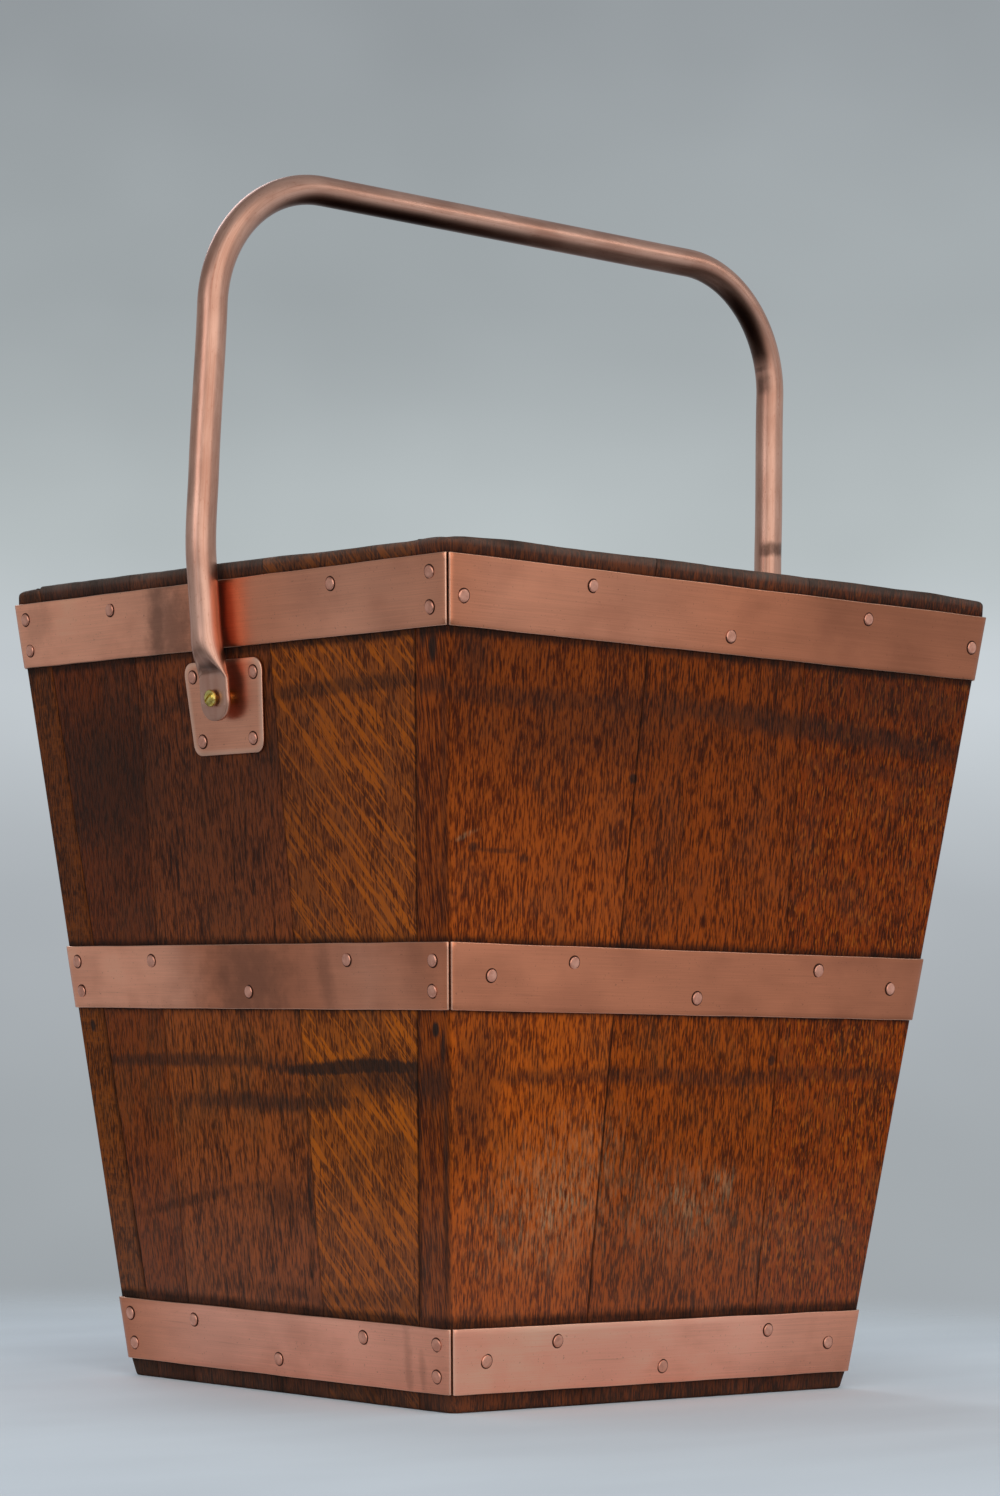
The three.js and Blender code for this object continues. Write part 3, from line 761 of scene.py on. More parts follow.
def boardLevels():
    # kind, height or angle of the rounding, and whether the groove is cut there
    steps, low, high = boards["arcSteps"], boards["grooveLow"], boards["grooveHigh"]
    levels = [("foot", math.pi / 2 * (1 - i / steps), False) for i in range(steps + 1)]
    levels += [("plain", 9.0, False), ("plain", low, False), ("plain", low + 0.06, True)]
    levels += [("plain", high - 0.06, True), ("plain", high, False)]
    z = high + boards["rowStep"]
    while z < 386:
        levels.append(("plain", z, False))
        z += boards["rowStep"]
    levels.append(("plain", 389.0, False))
    return levels + [("rim", math.pi / 2 * i / (steps + 1), False) for i in range(steps + 2)]


def boardMesh(wall, index, name):
    turn = Matrix.Rotation(wall["turn"], 4, "Z")
    top = bucket["height"] + wall["rise"]
    seed = 11.0 * index + 5.0 * walls.index(wall)
    rings, dirt, ends = [], [], []
    for kind, amount, groove in boardLevels():
        z = {"foot": 0.0, "plain": amount, "rim": top}[kind]
        ring = []
        for x, y, nx, ny, grime, isFree in boardRing(wall, index, z, groove):
            place = turn @ Vector((x, y, 0))
            inset, level, slip = 0.0, z, 0.0
            if kind == "rim":
                radius = boards["rimRound"] * (1 + 0.35 * ripple(place.x * 0.03, place.y * 0.03, seed=8))
                worn = rimWear(place)
                if not wall["between"]:
                    worn += boards["endDrop"] * smooth(45, 18, wall["half"](top) - abs(x))
                inset = radius * (1 - math.cos(amount))
                level = top - worn - radius * (1 - math.sin(amount))
                slip = level - z
            elif kind == "foot":
                radius = boards["footRound"] * (1 + 0.4 * ripple(place.x * 0.04, place.y * 0.04, seed=9))
                inset = radius * (1 - math.cos(amount))
                level = slip = radius * (1 - math.sin(amount))
            elif ny or isFree:
                wave = 1 + ripple(x * 0.018, z * 0.007, seed=seed)
                inset = boards["waves"] * wave + 0.03 * (1 + ripple(x * 0.2, z * 0.03, seed=seed))
            x -= nx * inset if isFree else 0.0
            ring.append(turn @ Vector((x, y - ny * inset - wall["slope"] * slip, level)))
            dirt.append(grime)
            ends.append(smooth(0.35, 0.9, abs(nx)) if isFree else 0.0)
        rings.append(ring)
    points, faces = lofted(rings)
    faces += pairedCaps(len(rings), len(rings[0]))
    return buildMesh(name, points, faces, 50, grime=dirt, edge=ends)


for wall in walls:
    for index, side in enumerate(wall["boards"]):
        name = wall["name"] + "_board_" + side
        finish = oakFinish(wall, name)
        addPiece(name + "_wood", boardMesh(wall, index, name), finish, "bucket", "wall_oak", name)
print("wall boards done")


# Rounded slabs: strips in their face's frame and floor boards

def slabMesh(name, spec, matrix, lift, sharpAngle=35):
    # spec: ends(v) gives the two ends along u, v runs low to high, h from 0 to thick.
    low, high, thick, ease = spec["low"], spec["high"], spec["thick"], spec["ease"]
    rows, columns = spec["rows"], spec["columns"]
    wave = spec.get("wave", lambda u, end: 0.0)
    cut = 0.29 * ease  # how far in the middle of a rounded edge lies

    def section(shrink):
        radius = max(ease - shrink, 0.0)
        bottom, top = low + shrink, high - shrink
        inner = [(lerp(bottom + radius, top - radius, i / rows), shrink) for i in range(rows + 1)]
        edge = [(top - 0.29 * radius, shrink + 0.29 * radius), (top, shrink + radius)]
        edge += [(v, thick - h) for v, h in edge[::-1]]
        outer = [(v, thick - shrink) for v, _ in inner[::-1]]
        return inner + edge + outer + [(bottom + (top - v), h) for v, h in edge[::-1]]

    insets = [(0, ease), (cut, cut), (ease, 0)]
    stations = [("start", a, s) for a, s in insets]
    stations += [("run", i / columns, 0) for i in range(1, columns)]
    stations += [("end", a, s) for a, s in insets[::-1]]
    rings, wornEdgeHighlight = [], []
    for kind, amount, shrink in stations:
        ring = []
        for v, h in section(shrink):
            first, last = spec["ends"](v)
            u = {
                "start": first + amount,
                "end": last - amount,
                "run": lerp(first + ease, last - ease, amount),
            }[kind]
            share = (v - low) / (high - low)
            waved = v + wave(u, 1) * share + wave(u, 0) * (1 - share)
            ring.append(matrix @ Vector((u, waved, h + lift(u, v) + spec.get("seat", 0.0))))
            away = min(u - first, last - u, v - low, high - v)
            # Edges worn pale, with a painted highlight where they catch the light
            wornEdgeHighlight.append(1.0 if away < spec.get("highlightWidth", 0) else 0.0)
        rings.append(ring)
    points, faces = lofted(rings, capped=True)
    layers = {"edge": wornEdgeHighlight} if "highlightWidth" in spec else {}
    return buildMesh(name, points, faces, sharpAngle, **layers)


# Metals

copper = {
    "sheet": "dd987a",
    # colour that the painted shade on the strips' duller stretches turns to
    "shadeWarm": "dd8a66",
    # lighter colour of the foot strips: painted reflection of the pale floor
    "foot": "eca48a",
    "deep": "a5634b",
    # colour of tarnished pits and stains, also used for painted shade in the tube's scoop
    "tarnishAndShade": "4d3830",
    # colour of the edges: worn metal, with a painted highlight
    "wornEdgeHighlight": "ffd0b4",
    "rough": (0.26, 0.36),
    "brushSize": (38, 38, 0.45),
    "coarseSize": (60, 60, 1.4),
    "blotchSize": (38, 38, 26),
    "cloudSize": (70, 70, 40),
    "pitSize": (1.1, 1.1, 1.1),
    "raggedSize": (9, 9, 9),
    "dullFade": (0.45, 0.75, 0.28),
    "pitFade": (0.66, 0.74, 0.4),
    "stainFade": (0.64, 0.8, 0.16),
    "gainHalf": 190.0,
    "gainMost": 1.4,
    "bump": 0.3,
    "bumpDepth": 0.00004,
}


def sheetFinish(name, turn, marks=(), litGains=(), base="sheet"):
    # litGains: painted light and shade, brighter and duller stretches standing in for how the light falls and
    # what the copper reflects, as places along the wall and the gain there
    material = newFinish(name)
    place = objectPlace(turn)
    brush = grain(place, copper["brushSize"], 2, 0.6)
    coarse = grain(place, copper["coarseSize"], 2, 0.6)
    blotch = grain(place, copper["blotchSize"], 3)
    pits = grain(place, copper["pitSize"], 2, 0.6)
    mixed = mixIn(brush, 0.4, times(grain(place, copper["cloudSize"]), 0.8))
    tone = rgba(copper[base])
    if litGains:
        half, most = copper["gainHalf"], copper["gainMost"]
        across = calc("ADD", swing(blotch, 30.0, axes(place)["X"]), half)
        gain = times(heightRamp(across, [(x + half, share / most) for x, share in litGains], 2 * half), most)
        # Painted shade: the duller stretches turn to a deeper, warmer copper
        tone = blendColour(fade(gain, 0.8, 1.15), rgba(copper["shadeWarm"]), tone)
    tones = [blendColour(1.0, tone, (share, share, share, 1), "MULTIPLY") for share in (0.84, 1.14)]
    colour = blendColour(fade(mixed, 0.35, 0.85), *tones)
    colour = tint(colour, fade(blotch, *copper["dullFade"]), copper["deep"])
    if litGains:
        # Painted light and shade: the colour scaled by the gain along the wall
        colour = blendColour(1.0, colour, gain, "MULTIPLY")
    colour = tint(colour, fade(pits, *copper["pitFade"]), copper["tarnishAndShade"])
    ragged = centred(grain(place, copper["raggedSize"], 3, 0.6))
    stained = stainMask(place, marks, ragged, fade(coarse, *copper["stainFade"]))
    colour = tint(colour, stained, copper["tarnishAndShade"])
    # Edges worn pale, with a painted highlight where they catch the light
    colour = tint(colour, times(attribute("edge"), 0.6), copper["wornEdgeHighlight"])
    rough = spread(mixIn(blotch, 0.6, times(brush, 0.4)), *copper["rough"])
    rough, height = mixIn(stained, 0.2, rough), mixIn(coarse, 0.6, brush)
    return closeFinish(material, surface(colour, rough, height, copper["bump"], copper["bumpDepth"], 1.0))


# Stains on the strips, in the same order as those on the walls
stripMarks = {
    "left_rim_strip": [
        (-49, 377, 8, 22, 0.6, 1.8, 0.8, 0),
        (-36, 372, 15, 18, 0.5, 2.4, 0.8, 0),
        (-150, 380, 12, 9, 0.2, 2.0, 0.8, 0),
    ],
    "left_middle_strip": [
        (0, 200, 26, 22, 0.4, 2.4, 0.9, 0),
        (60, 203, 5, 18, 0.3, 2.0, 0.8, 8),
        (128, 201, 9, 20, 0.2, 1.6, 0.9, 0),
    ],
    "left_foot_strip": [
        (98, 24, 2.5, 14, 0.25, 2.6, 0.8, 0),
        (108, 18, 2, 9, 0.25, 2.6, 0.8, 0),
    ],
}
# Painted light and shade on each strip and plate: brighter and duller stretches along the wall, standing in
# for how the lamps fall and what the copper reflects
paintedLightGains = {
    "front_rim_strip": [(-185, 0.86), (-150, 0.99), (-60, 0.97), (0, 0.85), (60, 0.63), (180, 0.64)],
    "front_middle_strip": [(-160, 0.88), (0, 0.84), (80, 0.8), (150, 0.62), (180, 0.6)],
    "front_foot_strip": [(-160, 1.38), (0, 1.34), (70, 1.06), (180, 0.92)],
    "left_rim_strip": [(-175, 1.34), (-80, 1.34), (-30, 0.98), (40, 0.96), (100, 1.1), (160, 1.02)],
    "left_middle_strip": [(-155, 1.37), (-70, 1.25), (-20, 0.74), (30, 0.8), (90, 1.03), (140, 0.86)],
    "left_foot_strip": [(-130, 0.84), (-60, 1.1), (60, 1.12), (130, 1.04)],
    "left_bearing_plate": [(-190, 1.08), (190, 1.08)],
    "right_bearing_plate": [(-190, 1.08), (190, 1.08)],
}

strips = {
    "seat": 0.3,
    "thick": 1.2,
    "overhang": -0.4,
    "ease": 0.45,
    "rowStep": 3.0,
    "columnStep": 2.6,
    "bendReach": 3.2,
    "bend": 0.5,
    "waves": 0.13,
    "edgeWaves": 0.22,
    "dish": 0.1,
    "dishReach": 4.5,
}
levels = [
    {"name": "rim", "low": 360, "height": 33, "endInset": 8},
    {"name": "middle", "low": 186, "height": 31.5, "endInset": 22},
    {"name": "foot", "low": 8.5, "height": 31, "endInset": 20},
]
nails = {
    "diameter": 6.1,
    "height": 0.78,
    "sideInset": 9,
    "high": 0.75,
    "middle": 0.5,
    "low": 0.27,
    "frontHigh": 0.52,
    "sideHigh": 0.515,
    "sizeSpread": 0.035,
    "tilt": 2.5,
    "seed": 4,
    "blotchSize": (4, 4, 4),
    "fineSize": (0.5, 0.5, 0.5),
    "dark": "d39079",
    "light": "eeac93",
    # dark ring at the foot of each head: grime, with painted shade where the head meets the sheet
    "dirt": "2a1710",
    "rough": (0.26, 0.38),
}
# Nails that sit a little off their row: wall, level and number of the nail
nailSlips = {
    ("front", "rim", 0): (0.6, -2.6),
    ("front", "rim", 1): (1.6, 0.4),
    ("front", "middle", 0): (2.0, 0.8),
    ("left", "rim", 3): (-2.0, 0.0),
    ("left", "rim", 4): (-2.0, 0.0),
    ("left", "middle", 3): (-1.5, -0.6),
    ("left", "middle", 4): (-1.5, 0.4),
}


def stripNails(wall, level):
    # x along the face, z above the ground
    high, middle, low = (level["low"] + level["height"] * nails[key] for key in ("high", "middle", "low"))
    places = []
    for end in (-1, 1):
        if wall["between"]:
            places.append((end * (wall["half"](high) - nails["sideInset"]), high))
            places.append((end * (wall["half"](low) - nails["sideInset"]), low))
            places.append((end * wall["half"](high) * nails["sideHigh"], high))
        else:
            places.append((end * (wall["half"](middle) - level["endInset"]), middle))
            places.append((end * wall["half"](high) * nails["frontHigh"], high))
    if not (wall["between"] and level["name"] == "rim"):
        places.append((0, low))
    slips = [nailSlips.get((wall["name"], level["name"], i), (0, 0)) for i in range(len(places))]
    return [(x + right, z + up) for (x, z), (right, up) in zip(places, slips)]


def stripEnds(wall, v):
    half = wall["half"](downFace(wall, v)) + strips["overhang"]
    return -half, half


def stripSeed(wall, level):
    return 3.0 * walls.index(wall) + 17.0 * levels.index(level)


def stripLift(wall, level):
    # How the sheet waves and dishes over the wood, at a place on the face.
    seed = stripSeed(wall, level)
    places = [(x, upFace(wall, z)) for x, z in stripNails(wall, level)]

    def lift(u, v):
        first, last = stripEnds(wall, v)
        away = min(u - first, last - u)
        rise = strips["waves"] * ripple(u * 0.024, v * 0.03, seed=seed)
        rise += 0.04 * ripple(u * 0.12, v * 0.1, seed=seed)
        rise -= strips["bend"] * clamp(1 - away / strips["bendReach"]) ** 2
        for x, y in places:
            rise -= strips["dish"] * math.exp(-((u - x) ** 2 + (v - y) ** 2) / strips["dishReach"] ** 2)
        return rise + 0.02

    return lift


def stripMesh(wall, level, name, lift):
    def wave(u, end):
        away = ripple(u * 0.035, end * 9.0, seed=stripSeed(wall, level))
        return strips["edgeWaves"] * away - (0.12 if end else -0.12)

    low, high = upFace(wall, level["low"]), upFace(wall, level["low"] + level["height"])
    spec = {
        "low": low,
        "high": high,
        "thick": strips["thick"],
        "ease": strips["ease"],
        "rows": round((high - low) / strips["rowStep"]),
        "columns": round(2 * wall["half"](level["low"]) / strips["columnStep"]),
        "ends": lambda v: stripEnds(wall, v),
        "seat": strips["seat"],
        "wave": wave,
        "highlightWidth": 0.4,
    }
    return slabMesh(name, spec, faceMatrix(wall), lift, 50)


headSeats = []
for wall in walls:
    plain = None
    for level in levels:
        name = wall["name"] + "_" + level["name"] + "_strip"
        if name in paintedLightGains:
            # Foot strips take the lighter foot colour, a painted reflection of the pale floor
            base = "foot" if level["name"] == "foot" else "sheet"
            marks = stripMarks.get(name, ())
            finish = sheetFinish(name + "_copper", wall["turn"], marks, paintedLightGains[name], base)
        else:
            plain = finish = plain or sheetFinish(wall["name"] + "_sheet_copper", wall["turn"])
        lift = stripLift(wall, level)
        addPiece(name + "_sheet", stripMesh(wall, level, name, lift), finish, "bucket", "sheet_copper", name)
        for x, z in stripNails(wall, level):
            rise = upFace(wall, z)
            headSeats.append((wall, x, rise, strips["seat"] + strips["thick"] + lift(x, rise)))
print("strips done")


# Bearing plates

plates = {
    "topWidth": 62,
    "footWidth": 54,
    "top": 354.5,
    "foot": 309,
    "thick": 1.2,
    "seat": 0.3,
    "corner": 6,
    "cornerSteps": 7,
    "ease": 0.35,
    "nailInset": 7,
    "waves": 0.1,
}


def roundedOutline(corners, radius, steps):
    # A convex outline, wound anticlockwise, with each corner turned into an arc.
    points = []
    for i, corner in enumerate(corners):
        before = (corners[i - 1] - corner).normalized()
        after = (corners[(i + 1) % len(corners)] - corner).normalized()
        halfAngle = math.acos(before.dot(after)) / 2
        inward = (before + after).normalized()
        centre = corner + inward * (radius / math.sin(halfAngle))
        sweep = math.pi - 2 * halfAngle
        outward = math.atan2(-inward.y, -inward.x)
        for k in range(steps + 1):
            angle = outward - sweep / 2 + k / steps * sweep
            points.append(centre + Vector((math.cos(angle), math.sin(angle))) * radius)
    return points


def plateMesh(wall, name):
    low, high = upFace(wall, plates["foot"]), upFace(wall, plates["top"])
    foot, top = plates["footWidth"] / 2, plates["topWidth"] / 2
    corners = [Vector((-foot, low)), Vector((foot, low)), Vector((top, high)), Vector((-top, high))]
    rounded = roundedOutline(corners, plates["corner"], plates["cornerSteps"])
    outline = []
    for point, following in zip(rounded, rounded[1:] + rounded[:1]):
        parts = max(1, round((following - point).length / 4))
        outline += [point.lerp(following, k / parts) for k in range(parts)]
    middle = Vector((0, (low + high) / 2))
    ease, thick = plates["ease"], plates["thick"]
    cut = 0.29 * ease
    # shares towards the middle and heights, from the middle of the back to the middle of the face
    profile = [(0.5, 0, 0), (0, ease, 0), (0, cut, cut), (0, 0, ease), (0, 0, thick - ease)]
    profile += [(0, cut, thick - cut), (0, ease, thick)]
    profile += [(share, ease, thick) for share in (0.12, 0.3, 0.5, 0.7, 0.88)]
    matrix, seed = faceMatrix(wall), 7.0 * walls.index(wall)
    rings, wornEdgeHighlight = [], []
    for share, inset, height in profile:
        ring = []
        for point in outline:
            drawn = point.lerp(middle, share)
            drawn += (middle - point).normalized() * inset
            rise = plates["waves"] * ripple(drawn.x * 0.05, drawn.y * 0.05, seed=seed)
            ring.append(matrix @ Vector((drawn.x, drawn.y, height + rise + plates["seat"])))
            # Face edges worn pale, with a painted highlight where they catch the light
            wornEdgeHighlight.append(1.0 if share == 0 and height >= thick - 0.3 * ease else 0.0)
        rings.append(ring)
    points, faces = lofted(rings)
    count = len(outline)
    for base, height in ((0, 0), ((len(rings) - 1) * count, thick)):
        hub = len(points)
        points.append(matrix @ Vector((middle.x, middle.y, height + plates["seat"])))
        wornEdgeHighlight.append(0.0)
        for i in range(count):
            j = (i + 1) % count
            faces.append((base + i, base + j, hub) if base else (base + j, base + i, hub))
    return buildMesh(name, points, faces, 50, edge=wornEdgeHighlight)


for wall in sideWalls:
    name = wall["name"] + "_bearing_plate"
    finish = sheetFinish(name + "_copper", wall["turn"], (), paintedLightGains[name])
    addPiece(name + "_sheet", plateMesh(wall, name), finish, "bucket", "sheet_copper", name)
    inset = plates["nailInset"]
    rows = ((plates["top"] - inset, plates["topWidth"]), (plates["foot"] + inset, plates["footWidth"]))
    for end in (-1, 1):
        for z, width in rows:
            x = end * (width / 2 - inset)
            headSeats.append((wall, x, upFace(wall, z), plates["seat"] + plates["thick"]))
print("plates done")


# Nail heads, set by a node tree on their seats

def headPattern():
    radius, height = nails["diameter"] / 2, nails["height"]
    # A thin skirt round the foot of the head carries its dark ring
    profile = [(0, -0.25), (radius + 0.6, -0.25), (radius + 0.55, 0.12), (radius, 0.16)]
    profile += [(radius, 0.55 * height), (radius * 0.93, 0.86 * height), (radius * 0.8, height)]
    profile += [(radius * 0.4, height * 1.02), (0, height)]
    mesh = turnedMesh("nailHead", profile, 18, 50)
    # Dark ring at the head's foot: grime, with painted shade where the head meets the sheet
    addLayer(mesh, "grime", [smooth(0.45, 0.2, v.co.z / mm) for v in mesh.vertices])
    return linked("nailHead", mesh)


def randomBetween(kind, least, most, seed):
    # Random Value has sockets of the same name for each kind of number.
    dataType = {"VALUE": "FLOAT", "VECTOR": "FLOAT_VECTOR"}[kind]
    made = node("FunctionNodeRandomValue", {"Seed": seed}, data_type=dataType)
    for label, value in (("Min", least), ("Max", most)):
        feed(next(s for s in made.inputs if s.name == label and s.type == kind), value)
    return next(s for s in made.outputs if s.type == kind)


def nailTree():
    tree = bpy.data.node_groups.new("setNailHeads", "GeometryNodeTree")
    openTree(tree)
    given = {"Geometry": "Geometry", "Head": "Object", "Tilt": "Float", "Size spread": "Float", "Seed": "Int"}
    for label, kind in (given | {"Finish": "Material"}).items():
        tree.interface.new_socket(label, in_out="INPUT", socket_type="NodeSocket" + kind)
    tree.interface.new_socket("Geometry", in_out="OUTPUT", socket_type="NodeSocketGeometry")
    entry = node("NodeGroupInput").outputs
    facing = node("GeometryNodeInputNamedAttribute", {"Name": "facing"}, data_type="FLOAT_VECTOR").outputs[0]
    aim = node("FunctionNodeAlignRotationToVector", {"Vector": facing}, axis="Z").outputs[0]
    head = node("GeometryNodeObjectInfo", {"Object": entry["Head"]}).outputs["Geometry"]
    sizes = [calc(way, 1.0, entry["Size spread"]) for way in ("SUBTRACT", "ADD")]
    scale = randomBetween("VALUE", *sizes, entry["Seed"])
    inputs = {"Points": entry["Geometry"], "Instance": head, "Rotation": aim, "Scale": scale}
    heads = node("GeometryNodeInstanceOnPoints", inputs).outputs[0]
    turns = []
    for sign in (-1, 1):
        slant = times(entry["Tilt"], sign)
        turns.append(node("ShaderNodeCombineXYZ", {0: slant, 1: slant, 2: sign * math.pi}).outputs[0])
    spun = randomBetween("VECTOR", *turns, entry["Seed"])
    heads = node("GeometryNodeRotateInstances", {"Instances": heads, "Rotation": spun}).outputs[0]
    solid = node("GeometryNodeRealizeInstances", {0: heads}).outputs[0]
    done = node("GeometryNodeSetMaterial", {"Geometry": solid, "Material": entry["Finish"]}).outputs[0]
    node("NodeGroupOutput", {0: done})
    return tree


def setNailHeads(finish):
    points = bpy.data.meshes.new("nailSeats")
    places, facings = [], []
    for wall, x, rise, seat in headSeats:
        matrix = faceMatrix(wall)
        places.append(tuple(matrix @ Vector((x, rise, seat)) * mm))
        facings += list(matrix.to_3x3() @ Vector(upright))
    points.from_pydata(places, [], [])
    addLayer(points, "facing", facings)
    holder, pattern, tree = linked("nailSeats", points), headPattern(), nailTree()
    modifier = holder.modifiers.new("heads", "NODES")
    modifier.node_group = tree
    given = {
        "Head": pattern,
        "Tilt": math.radians(nails["tilt"]),
        "Size spread": nails["sizeSpread"],
        "Seed": nails["seed"],
        "Finish": finish,
    }
    for item in tree.interface.items_tree:
        if item.in_out == "INPUT" and item.name in given:
            modifier[item.identifier] = given[item.name]
    mesh = evaluated(holder)
    bpy.data.objects.remove(holder)
    bpy.data.objects.remove(pattern)
    finishMesh(mesh, 60)
    return mesh


def headFinish():
    material = newFinish("nail_copper")
    place = objectPlace()
    blotch = grain(place, nails["blotchSize"], 3, 0.6)
    fine = grain(place, nails["fineSize"], 2, 0.6)
    dirt = attribute("grime")
    colour = blendColour(fade(blotch, 0.3, 0.7), rgba(nails["dark"]), rgba(nails["light"]))
    colour = tint(colour, fade(fine, 0.58, 0.78, 0.4), copper["deep"])
    # Dark ring at the head's foot: grime, with painted shade where the head meets the sheet
    colour = tint(colour, times(dirt, 0.92), nails["dirt"])
    rough = mixIn(dirt, 0.4, spread(blotch, *nails["rough"]))
    return closeFinish(material, surface(colour, rough, fine, 0.3, 0.00005, 1.0))


headMaterial = headFinish()
plateNails = []
for side in ("left", "right"):
    for row in ("top", "foot"):
        plateNails += [f"{side}_plate_nail_{row}_{end}" for end in ("front", "back")]
addPiece("nail_heads", setNailHeads(headMaterial), headMaterial, "bucket", "sheet_copper", *plateNails)
print("nail heads done")


# Bail, bent from copper tube whose ends are pressed flat

bail = {
    "tube": 14.8,
    "tab": 2.4,
    "standOff": 7.1,
    "neckStart": 9,
    "neckEnd": 36,
    "pivotDrop": 64.3,
    "rise": 256,
    "bendRadius": 65.5,
    "clearance": 0.8,
    "splay": 0.6,
    "splayHeight": 45,
    "tuck": 1.1,
    "lean": 1.3,
    "sides": 44,
    "scoop": 8.0,
    "scoopSteep": 1.6,
    "blunt": 0.84,
    "hole": 2.92,
    "tabSteps": 20,
    "bendSteps": 36,
    "barSteps": 30,
    "lineSize": (0.6, 0.6, 60),
    "blotchSize": (7, 7, 26),
    "cloudSize": (16, 16, 46),
    "spotSize": (1.2, 1.2, 2.4),
    "dark": "bb8a76",
    "light": "dbab96",
    # colour of the painted shade and dark reflection on the tube's inner side and under the bar
    "tarnishAndShade": "2a1a14",
    "rough": (0.3, 0.43),
}
cadTube = 15
seatOfSheet = strips["seat"] + strips["thick"]
sideTilt = math.atan(sideSlope)
pivotZ = bucket["height"] - bail["pivotDrop"]
pivotX = halfWidth(pivotZ) + bail["standOff"] / math.cos(sideTilt)
rimLegX = halfWidth(bucket["height"]) + (seatOfSheet + bail["clearance"] + cadTube / 2) / math.cos(sideTilt)
shoulderX = rimLegX - bail["tuck"]
bendHeight = bail["rise"] - bail["bendRadius"]


def roundness(height):
    share = clamp((height - bail["neckStart"]) / (bail["neckEnd"] - bail["neckStart"]))
    return share * (2 - share)


def legX(height):
    drop = bail["pivotDrop"]
    if height <= drop:
        tab = pivotX + sideSlope * height
        return lerp(tab, rimLegX - sideSlope * (drop - height), roundness(height))
    top = drop + bail["splayHeight"]
    splayX = rimLegX + bail["splay"]
    if height <= top:
        share = (height - drop) / bail["splayHeight"]
        drift = sideSlope * bail["splayHeight"] * share * (1 - share) ** 2
        return lerp(rimLegX, splayX, smooth(drop, top, height)) + drift
    return lerp(splayX, shoulderX, smooth(top, bendHeight, height))


def scoopSurface(height, share, bulge):
    # How far out the outer face stands where the press's round end left a scoop in it.
    deep = 1 - share ** 2
    start = bail["neckStart"] + bail["scoop"] * deep
    grown = clamp((height - start) / (bail["neckEnd"] - 4 * deep - start))
    grown = 1 - (1 - grown) ** (2 + bail["scoopSteep"] * deep)
    tab = pivotX + sideSlope * height + bail["tab"] / 2 * bulge
    leg = rimLegX - sideSlope * (bail["pivotDrop"] - height) + bail["tube"] / 2 * bulge
    return lerp(tab, leg, grown)


def breadthAt(thickness):
    return thickness + math.pi / 2 * (cadTube - thickness)


def bailStation(height):
    run = legX(height + 0.3) - legX(height - 0.3)
    thick = lerp(bail["tab"], bail["tube"], roundness(height))
    breadth = breadthAt(lerp(bail["tab"], cadTube, roundness(height))) - (cadTube - bail["tube"])
    return Vector((legX(height), height)), Vector((run, 0.6)).normalized(), breadth, thick, height


def bailStations():
    # Centre, way along, breadth, thickness and length so far, from the tab's end to the middle of the bar.
    tube, radius, blunt = bail["tube"], bail["bendRadius"], bail["blunt"]
    stations = []
    tabRadius = breadthAt(bail["tab"]) / 2
    for i in range(1, bail["tabSteps"] + 1):
        angle = math.pi / 2 * (i / bail["tabSteps"]) ** 1.2
        centre, along, _, thick, height = bailStation(-tabRadius * math.cos(angle) ** blunt)
        stations.append((centre, along, 2 * tabRadius * math.sin(angle) ** blunt, thick, height))
    height = 1.0
    while height < bendHeight:
        stations.append(bailStation(height))
        height += 1.0 if height < 42 else 2.5
    straight = shoulderX - radius
    for i in range(bail["bendSteps"] + 1):
        angle = math.pi / 2 * i / bail["bendSteps"]
        out = Vector((math.cos(angle), math.sin(angle)))
        centre = Vector((straight, bendHeight)) + out * radius
        stations.append((centre, Vector((-out.y, out.x)), tube, tube, bendHeight + radius * angle))
    arc = stations[-1][4]
    for i in range(1, bail["barSteps"] + 1):
        x = straight * (1 - i / bail["barSteps"])
        stations.append((Vector((x, bail["rise"])), Vector((-1, 0)), tube, tube, arc + straight - x))
    return stations


def bailRing(station, side, reach):
    centre, along, breadth, thick, height = station
    ring, drawn, pressed = [], [], []
    for i in range(bail["sides"]):
        angle = (i + 0.5) / bail["sides"] * 2 * math.pi
        flat = math.copysign((breadth - thick) / 2, math.cos(angle))
        across = flat + thick / 2 * math.cos(angle)
        out = thick / 2 * math.sin(angle)
        mark = 0.0
        if out < 0 and 0 < height < 45:
            share = clamp(abs(across) / (breadth / 2))
            out = (centre.x - scoopSurface(height, share, -math.sin(angle))) / along.y
            # Painted shade along the crease where the flattened face turns into the scoop
            lip = bail["neckStart"] + bail["scoop"] * (1 - share ** 2) + 1.5
            mark = math.exp(-(((height - lip) / 1.4) ** 2)) * smooth(1, 0.75, share)
        pressed.append(mark)
        ring.append(Vector((side * (centre.x - along.y * out), across, centre.y + along.x * out)))
        drawn += [cadTube / 2 * math.cos(angle), cadTube / 2 * math.sin(angle), side * (reach - height)]
    return ring, drawn, pressed


